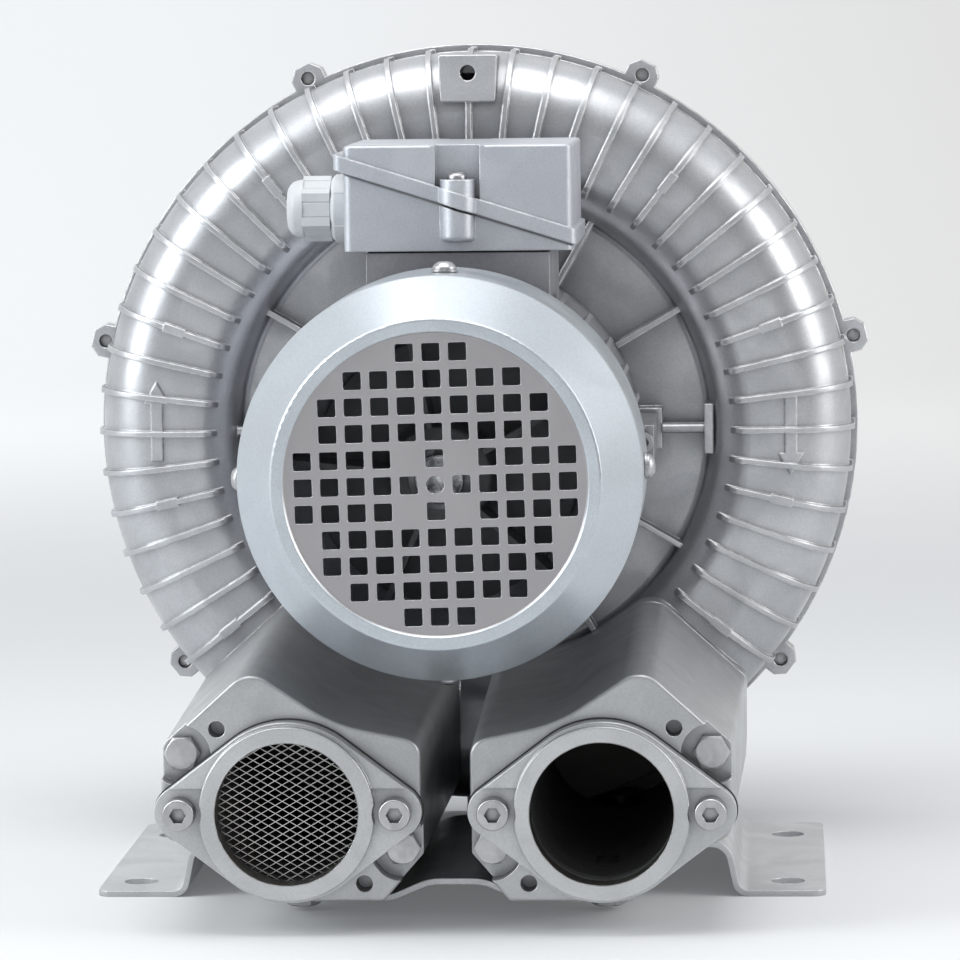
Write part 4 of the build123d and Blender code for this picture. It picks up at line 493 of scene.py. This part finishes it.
@dataclass(frozen=True)
class BareMetal(Finish):
    """Machined, plated or drawn metal without paint."""

    name: str
    colour: Colour
    tint: Colour
    roughness: float = 0.3
    grain: float = 1800.0
    relief: float = 0.00002
    edge: float = 0.0003
    metallic: float = 1.0
    edge_highlight_colour: Colour = (0.8, 0.8, 0.8)
    gap_shade_colour: Colour = (0.02, 0.02, 0.022)
    gap_shade_reach: float = 0.004

    def shade(self) -> bpy.types.Material:
        """Build the metal from two tints, fine scratches, softened edges with a painted highlight, and
        painted shade in gaps.
        """
        material, nodes, shader = new_material(self.name)
        edges = SOFT_EDGES.place(nodes, Radius=self.edge)
        grain = CAST_GRAIN.place(nodes, Scale=self.grain, Coarse=0.15)
        mottle = MOTTLE.place(nodes, Scale=90.0)
        base = nodes.blend(mottle.outputs["Cloud"], self.tint, self.colour)
        # painted highlight: edges are lightened towards a pale grey
        base = nodes.blend(nodes.math("MULTIPLY", edges.outputs["Mask"], 0.5), base, self.edge_highlight_colour)
        # painted shade: sockets and narrow gaps are darkened towards near black
        cavity_shade = CAVITY_SHADE.place(nodes, Reach=self.gap_shade_reach)
        base = nodes.blend(nodes.math("MULTIPLY", cavity_shade.outputs["Mask"], 0.9), base, self.gap_shade_colour)
        nodes.feed(shader, "Base Color", base)
        shader.inputs["Metallic"].default_value = self.metallic
        rough = nodes.spread(mottle.outputs["Streak"], 0.0, 1.0, self.roughness - 0.06, self.roughness + 0.08)
        nodes.feed(shader, "Roughness", rough)
        bump = nodes.add("ShaderNodeBump", Strength=1.0, Distance=self.relief,
                         Height=grain.outputs["Height"], Normal=edges.outputs["Normal"])
        nodes.feed(shader, "Normal", bump.outputs[0])
        return material


@dataclass(frozen=True)
class Moulded(Finish):
    """Plastic, rubber or foam."""

    name: str
    colour: Colour
    tint: Colour
    roughness: float = 0.45
    grain: float = 1500.0
    relief: float = 0.00003
    edge: float = 0.0004
    sheen: float = 0.0

    def shade(self) -> bpy.types.Material:
        """Build the moulding from two tints and a fine spark-eroded grain."""
        material, nodes, shader = new_material(self.name)
        edges = SOFT_EDGES.place(nodes, Radius=self.edge)
        grain = CAST_GRAIN.place(nodes, Scale=self.grain, Coarse=0.3)
        mottle = MOTTLE.place(nodes, Scale=60.0)
        nodes.feed(shader, "Base Color", nodes.blend(mottle.outputs["Cloud"], self.tint, self.colour))
        rough = nodes.spread(grain.outputs["Fine"], 0.3, 0.7, self.roughness - 0.05, self.roughness + 0.07)
        nodes.feed(shader, "Roughness", rough)
        shader.inputs["Sheen Weight"].default_value = self.sheen
        bump = nodes.add("ShaderNodeBump", Strength=1.0, Distance=self.relief,
                         Height=grain.outputs["Height"], Normal=edges.outputs["Normal"])
        nodes.feed(shader, "Normal", bump.outputs[0])
        return material


# Zone colours: near-black painted shade in the casing's ducts and the flanges' bores; a darker grey on the
# cowl's grille, partly its own tone and partly painted shade.
CASTING = SilverPaint("casting_paint", (0.56, 0.57, 0.59), (0.46, 0.47, 0.49), metallic=0.78, roughness=0.30,
                      edge=0.0011, wear_and_highlight=0.75, bare_and_highlight=(0.94, 0.95, 0.96), crease_shade=0.62, crease_shade_reach=0.032,
                      zone=Zone.DUCT, zone_tone_and_shade=(0.03, 0.027, 0.025))
COVER = replace(CASTING, name="cover_paint", zone=Zone.NONE)
MOTOR = SilverPaint("motor_paint", (0.40, 0.405, 0.43), (0.34, 0.345, 0.37), metallic=0.7, roughness=0.33)
COWL = SilverPaint("cowl_paint", (0.55, 0.59, 0.63), (0.51, 0.55, 0.59), roughness=0.30, relief=0.00001,
                   metallic=0.75, zone=Zone.GRILLE, zone_tone_and_shade=(0.37, 0.36, 0.37), crease_shade=0.25, wear_and_highlight=0.6)
BOX = SilverPaint("box_paint", (0.54, 0.56, 0.60), (0.48, 0.50, 0.54), roughness=0.38, metallic=0.6,
                  edge=0.0009, wear_and_highlight=0.6)
SHEET = SilverPaint("sheet_paint", (0.61, 0.62, 0.63), (0.54, 0.55, 0.56), roughness=0.34, metallic=0.7,
                    wear_and_highlight=0.6)
SILENCER = SilverPaint("silencer_paint", (0.47, 0.48, 0.49), (0.41, 0.42, 0.43), roughness=0.33,
                       metallic=0.72, edge=0.0009, wear_and_highlight=0.6)
FLANGE = SilverPaint("flange_alloy", (0.55, 0.56, 0.57), (0.48, 0.49, 0.50), roughness=0.34, metallic=0.8,
                     edge=0.0007, wear_and_highlight=0.7, zone=Zone.THREAD, zone_tone_and_shade=(0.02, 0.018, 0.016))
ZINC = BareMetal("zinc", (0.52, 0.52, 0.53), (0.40, 0.40, 0.41), roughness=0.36)
GROUND = BareMetal("ground_steel", (0.55, 0.55, 0.56), (0.48, 0.48, 0.49), roughness=0.24)
SPRING = BareMetal("spring_steel", (0.26, 0.26, 0.27), (0.20, 0.20, 0.21), roughness=0.35)
POLISHED = BareMetal("polished_steel", (0.66, 0.66, 0.67), (0.60, 0.60, 0.61), roughness=0.12)
ALLOY = BareMetal("bare_alloy", (0.64, 0.64, 0.65), (0.56, 0.56, 0.57), roughness=0.42)
CORE = BareMetal("core_sheet", (0.30, 0.30, 0.31), (0.24, 0.24, 0.25), roughness=0.45)
COPPER = BareMetal("copper_wire", (0.62, 0.27, 0.12), (0.50, 0.20, 0.08), roughness=0.35)
BRASS = BareMetal("brass", (0.72, 0.54, 0.26), (0.62, 0.45, 0.20), roughness=0.28)
MESH_WIRE = BareMetal("mesh_wire", (0.46, 0.45, 0.44), (0.36, 0.35, 0.34), roughness=0.35)
FAN_PLASTIC = Moulded("fan_plastic", (0.20, 0.205, 0.21), (0.15, 0.155, 0.16), roughness=0.5)
CAGE_PLASTIC = Moulded("cage_plastic", (0.14, 0.10, 0.07), (0.10, 0.07, 0.05))
BOARD = Moulded("board_plastic", (0.06, 0.06, 0.065), (0.04, 0.04, 0.045))
GLAND = Moulded("gland_plastic", (0.62, 0.64, 0.66), (0.56, 0.58, 0.60), roughness=0.36)
LID_SEAL = Moulded("lid_seal", (0.22, 0.225, 0.235), (0.18, 0.185, 0.195), roughness=0.6)
GASKET = Moulded("gasket", (0.03, 0.03, 0.033), (0.02, 0.02, 0.022), roughness=0.7)
RUBBER = Moulded("rubber", (0.025, 0.025, 0.025), (0.015, 0.015, 0.015), roughness=0.6)
FOAM = Moulded("foam", (0.035, 0.03, 0.027), (0.012, 0.010, 0.009), roughness=0.95, grain=700.0,
               relief=0.0006, sheen=0.15)


# ------------------------------------------------------------------------- assemblies
@dataclass
class Assembly:
    """Sub-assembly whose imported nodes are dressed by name."""

    frame: dict
    finishes: dict[str, Finish] = field(default_factory=dict)

    def dress(self) -> None:
        """Put each finish on its node."""
        for node, finish in self.finishes.items():
            finish.on(self.frame["nodes"][node])
            LOG.info("dressed %s with %s", node, finish.name)


@dataclass
class RingCasing(Assembly):
    """Ribbed ring casing, its cover and their screws."""

    finishes: dict[str, Finish] = field(default_factory=lambda: {
        "channel_casing": CASTING, "channel_cover": COVER, "cover_screws": ZINC})


@dataclass
class Silencers(Assembly):
    """Silencer boxes, liners and port flanges."""

    finishes: dict[str, Finish] = field(default_factory=lambda: {
        "silencer_left": SILENCER, "silencer_right": SILENCER, "silencer_gaskets": GASKET,
        "silencer_bolts": ZINC, "foam_liner_left": FOAM, "foam_liner_right": FOAM,
        "port_flange_left": FLANGE, "port_flange_right": FLANGE, "flange_gaskets": GASKET,
        "flange_screws": ZINC, "inlet_screen": MESH_WIRE})


@dataclass
class BaseSheet(Assembly):
    """Bent base sheet and its screws."""

    finishes: dict[str, Finish] = field(default_factory=lambda: {
        "base_plate": SHEET, "base_screws": ZINC})


@dataclass
class Motor(Assembly):
    """Motor housing, end shield and everything inside them."""

    finishes: dict[str, Finish] = field(default_factory=lambda: {
        "motor_housing": MOTOR, "motor_bolts": ZINC, "rear_end_shield": MOTOR, "shield_screws": ZINC,
        "stator_core": CORE, "stator_winding": COPPER, "rotor_core": CORE, "motor_shaft": GROUND,
        "preload_washer": SPRING, "shaft_seal": RUBBER,
        "drive_bearing_outer": POLISHED, "drive_bearing_inner": POLISHED, "drive_bearing_balls": POLISHED,
        "drive_bearing_cage": CAGE_PLASTIC, "rear_bearing_outer": POLISHED, "rear_bearing_inner": POLISHED,
        "rear_bearing_balls": POLISHED, "rear_bearing_cage": CAGE_PLASTIC})


@dataclass
class Impeller(Assembly):
    """Impeller and what holds it on the shaft."""

    finishes: dict[str, Finish] = field(default_factory=lambda: {
        "impeller": ALLOY, "impeller_key": GROUND, "impeller_washer": ZINC, "impeller_screw": ZINC})


@dataclass
class FanEnd(Assembly):
    """Cooling fan and the cowl round it."""

    finishes: dict[str, Finish] = field(default_factory=lambda: {
        "fan_cowl": COWL, "cowl_screws": ZINC, "cowl_washers": ZINC, "cooling_fan": FAN_PLASTIC,
        "fan_circlip": SPRING})


@dataclass
class TerminalBox(Assembly):
    """Terminal box with its board and screws."""

    finishes: dict[str, Finish] = field(default_factory=lambda: {
        "terminal_box": BOX, "terminal_lid": BOX, "lid_gasket": LID_SEAL, "box_gasket": GASKET,
        "lid_screws": ZINC, "box_screws": ZINC, "terminal_board": BOARD, "terminal_studs": BRASS,
        "terminal_links": BRASS})


@dataclass
class CableGland(Assembly):
    """Cable gland on the side of the terminal box."""

    finishes: dict[str, Finish] = field(default_factory=lambda: {
        "gland_body": GLAND, "gland_cap": GLAND, "gland_locknut": GLAND, "gland_seal": RUBBER})


# ----------------------------------------------------------------------------- studio
@dataclass(frozen=True)
class SoftBox:
    """Rectangular soft lamp that looks at the blower."""

    name: str
    place: tuple[float, float, float]
    size: tuple[float, float]
    power: float
    colour: Colour = (1.0, 1.0, 1.0)

    def hang(self, aim: Vector) -> None:
        """Hang the lamp.

        Args:
            aim: point that it looks at.
        """
        data = bpy.data.lights.new(self.name, "AREA")
        data.shape = "RECTANGLE"
        data.size, data.size_y = self.size
        data.energy = self.power
        data.color = self.colour
        lamp = bpy.data.objects.new(self.name, data)
        lamp.location = self.place
        lamp.rotation_euler = (aim - Vector(self.place)).to_track_quat("-Z", "Y").to_euler()
        bpy.context.collection.objects.link(lamp)


SOFT_BOXES = (
    SoftBox("left_box", (-1.5, -0.7, 0.9), (0.9, 1.3), 20.0, (0.94, 0.975, 1.0)),
    SoftBox("right_box", (1.5, -0.4, 0.8), (0.8, 1.1), 11.0, (1.0, 0.99, 0.97)),
    SoftBox("top_box", (-0.1, -0.3, 1.7), (1.4, 1.1), 16.0),
    SoftBox("low_front_box", (0.3, -2.5, 0.12), (1.6, 0.3), 1.2, (0.97, 0.985, 1.0)),
)


@dataclass
class Studio:
    """Floor, backdrop, lamps and camera."""

    camera_place: tuple[float, float, float] = (0.13871, -2.12465, 0.37717)
    camera_right: tuple[float, float, float] = (0.99803784, 0.06142183, -0.01215869)
    camera_up: tuple[float, float, float] = (0.0060832, 0.09814913, 0.99515313)
    camera_ahead: tuple[float, float, float] = (-0.06231749, 0.99327444, -0.0975829)
    lens: float = 184.52
    lamp_aim: tuple[float, float, float] = (0.0, 0.0, 0.18)
    backdrop: Colour = (0.86, 0.87, 0.875)
    room_ahead: Colour = (0.40, 0.405, 0.41)
    ceiling: Colour = (0.92, 0.94, 0.96)
    near_cloth: Colour = (0.66, 0.67, 0.68)
    far_cloth: Colour = (0.80, 0.81, 0.82)
    near_glow: Colour = (0.10, 0.103, 0.106)
    left_glow: Colour = (0.50, 0.52, 0.525)
    right_glow: Colour = (0.345, 0.33, 0.315)
    floor_depth: float = 4.6
    floor_front: float = -5.0
    floor_half_width: float = 5.0
    wall_height: float = 3.0
    wall_bend: float = 1.9

    def build(self) -> None:
        """Make the camera, the lamps, the world and the floor."""
        self.camera()
        for box in SOFT_BOXES:
            box.hang(Vector(self.lamp_aim))
        self.world()
        self.floor()

    def camera(self) -> None:
        """Place the camera."""
        data = bpy.data.cameras.new("camera")
        data.lens = self.lens
        data.sensor_width = 36.0
        data.clip_start = 0.05
        data.clip_end = 50.0
        camera = bpy.data.objects.new("camera", data)
        bpy.context.collection.objects.link(camera)
        axes = Matrix((self.camera_right, self.camera_up, tuple(-v for v in self.camera_ahead))).transposed()
        camera.matrix_world = Matrix.Translation(self.camera_place) @ axes.to_4x4()
        bpy.context.scene.camera = camera

    def world(self) -> None:
        """Light the scene with a pale studio room."""
        world = bpy.data.worlds.new("room")
        world.use_nodes = True
        world.node_tree.nodes.clear()
        nodes = Nodes(world.node_tree)
        path = nodes.add("ShaderNodeLightPath")
        seen = nodes.math("MAXIMUM", path.outputs["Is Camera Ray"],
                          nodes.math("MAXIMUM", path.outputs["Is Glossy Ray"],
                                     path.outputs["Is Transmission Ray"]))
        strength = nodes.spread(seen, 0.0, 1.0, 0.55, 1.0)
        place = nodes.add("ShaderNodeTexCoord").outputs["Generated"]
        axes = nodes.add("ShaderNodeSeparateXYZ", Vector=place)
        walls = nodes.math("MAXIMUM", nodes.spread(axes.outputs["Y"], -0.75, 0.15),
                           path.outputs["Is Camera Ray"])
        tone = nodes.blend(walls, self.room_ahead, self.backdrop)
        tone = nodes.blend(nodes.spread(axes.outputs["Z"], 0.30, 0.80), tone, self.ceiling)
        room = nodes.add("ShaderNodeBackground", Color=tone, Strength=strength)
        output = nodes.add("ShaderNodeOutputWorld")
        world.node_tree.links.new(room.outputs[0], output.inputs[0])
        bpy.context.scene.world = world
        bpy.context.scene.view_settings.view_transform = "Standard"

    def floor(self) -> None:
        """Lay a pale floor that runs up into a backdrop."""
        depth, half, bend = self.floor_depth, self.floor_half_width, self.wall_bend
        profile = [(self.floor_front, 0.0), (depth - bend, 0.0)]
        profile += [(depth - bend + bend * math.sin(a), bend - bend * math.cos(a))
                    for a in (math.radians(d) for d in range(5, 91, 5))]
        profile.append((depth, self.wall_height))
        points = [(x, y, z) for x in (-half, half) for y, z in profile]
        count = len(profile)
        faces = [(i, i + 1, count + i + 1, count + i) for i in range(count - 1)]
        mesh = bpy.data.meshes.new("floor")
        mesh.from_pydata(points, [], [face[::-1] for face in faces])
        mesh.polygons.foreach_set("use_smooth", [True] * len(faces))
        floor = bpy.data.objects.new("floor", mesh)
        bpy.context.collection.objects.link(floor)
        mesh.materials.append(self.floor_material())

    def floor_material(self) -> bpy.types.Material:
        """Return the floor's pale surface, which keeps the shadow and lifts what is seen of it."""
        material = bpy.data.materials.new("pale_floor")
        material.use_nodes = True
        tree = material.node_tree
        tree.nodes.clear()
        nodes = Nodes(tree)
        path = nodes.add("ShaderNodeLightPath")
        seen = nodes.math("MAXIMUM", path.outputs["Is Camera Ray"], path.outputs["Is Glossy Ray"])
        place = nodes.add("ShaderNodeSeparateXYZ",
                          Vector=nodes.add("ShaderNodeNewGeometry").outputs["Position"])
        far = nodes.math("SQRT", nodes.math(
            "ADD", nodes.math("MULTIPLY", place.outputs["X"], place.outputs["X"]),
            nodes.math("MULTIPLY", place.outputs["Y"], place.outputs["Y"])))
        raised = nodes.math("MAXIMUM", nodes.spread(place.outputs["Z"], 0.0, 0.05),
                            nodes.spread(far, 0.7, 2.4))
        # painted light: the glow of the far floor and backdrop is lighter on the left and darker on the right
        aside = nodes.spread(place.outputs["X"], -0.9, 0.7)
        # painted shade: the floor near the blower has a darker cloth and far less glow than the far floor
        cloth = nodes.add("ShaderNodeBsdfDiffuse",
                          Color=nodes.blend(raised, self.near_cloth, self.far_cloth))
        wall_glow = nodes.blend(aside, self.left_glow, self.right_glow)
        glow = nodes.add("ShaderNodeEmission", Strength=1.0,
                         Color=nodes.blend(raised, self.near_glow, wall_glow))
        lit = tree.nodes.new("ShaderNodeAddShader")
        tree.links.new(cloth.outputs[0], lit.inputs[0])
        tree.links.new(glow.outputs[0], lit.inputs[1])
        pick = tree.nodes.new("ShaderNodeMixShader")
        tree.links.new(seen, pick.inputs[0])
        tree.links.new(cloth.outputs[0], pick.inputs[1])
        tree.links.new(lit.outputs[0], pick.inputs[2])
        output = nodes.add("ShaderNodeOutputMaterial")
        tree.links.new(pick.outputs[0], output.inputs[0])
        return material


def main() -> None:
    """Build the looks in order."""
    logging.basicConfig(level=logging.INFO, format="%(name)s: %(message)s")
    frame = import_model()
    for kind in (RingCasing, Silencers, BaseSheet, Motor, Impeller, FanEnd, TerminalBox, CableGland):
        kind(frame).dress()
    Studio().build()


if __name__ == "__main__":
    main()
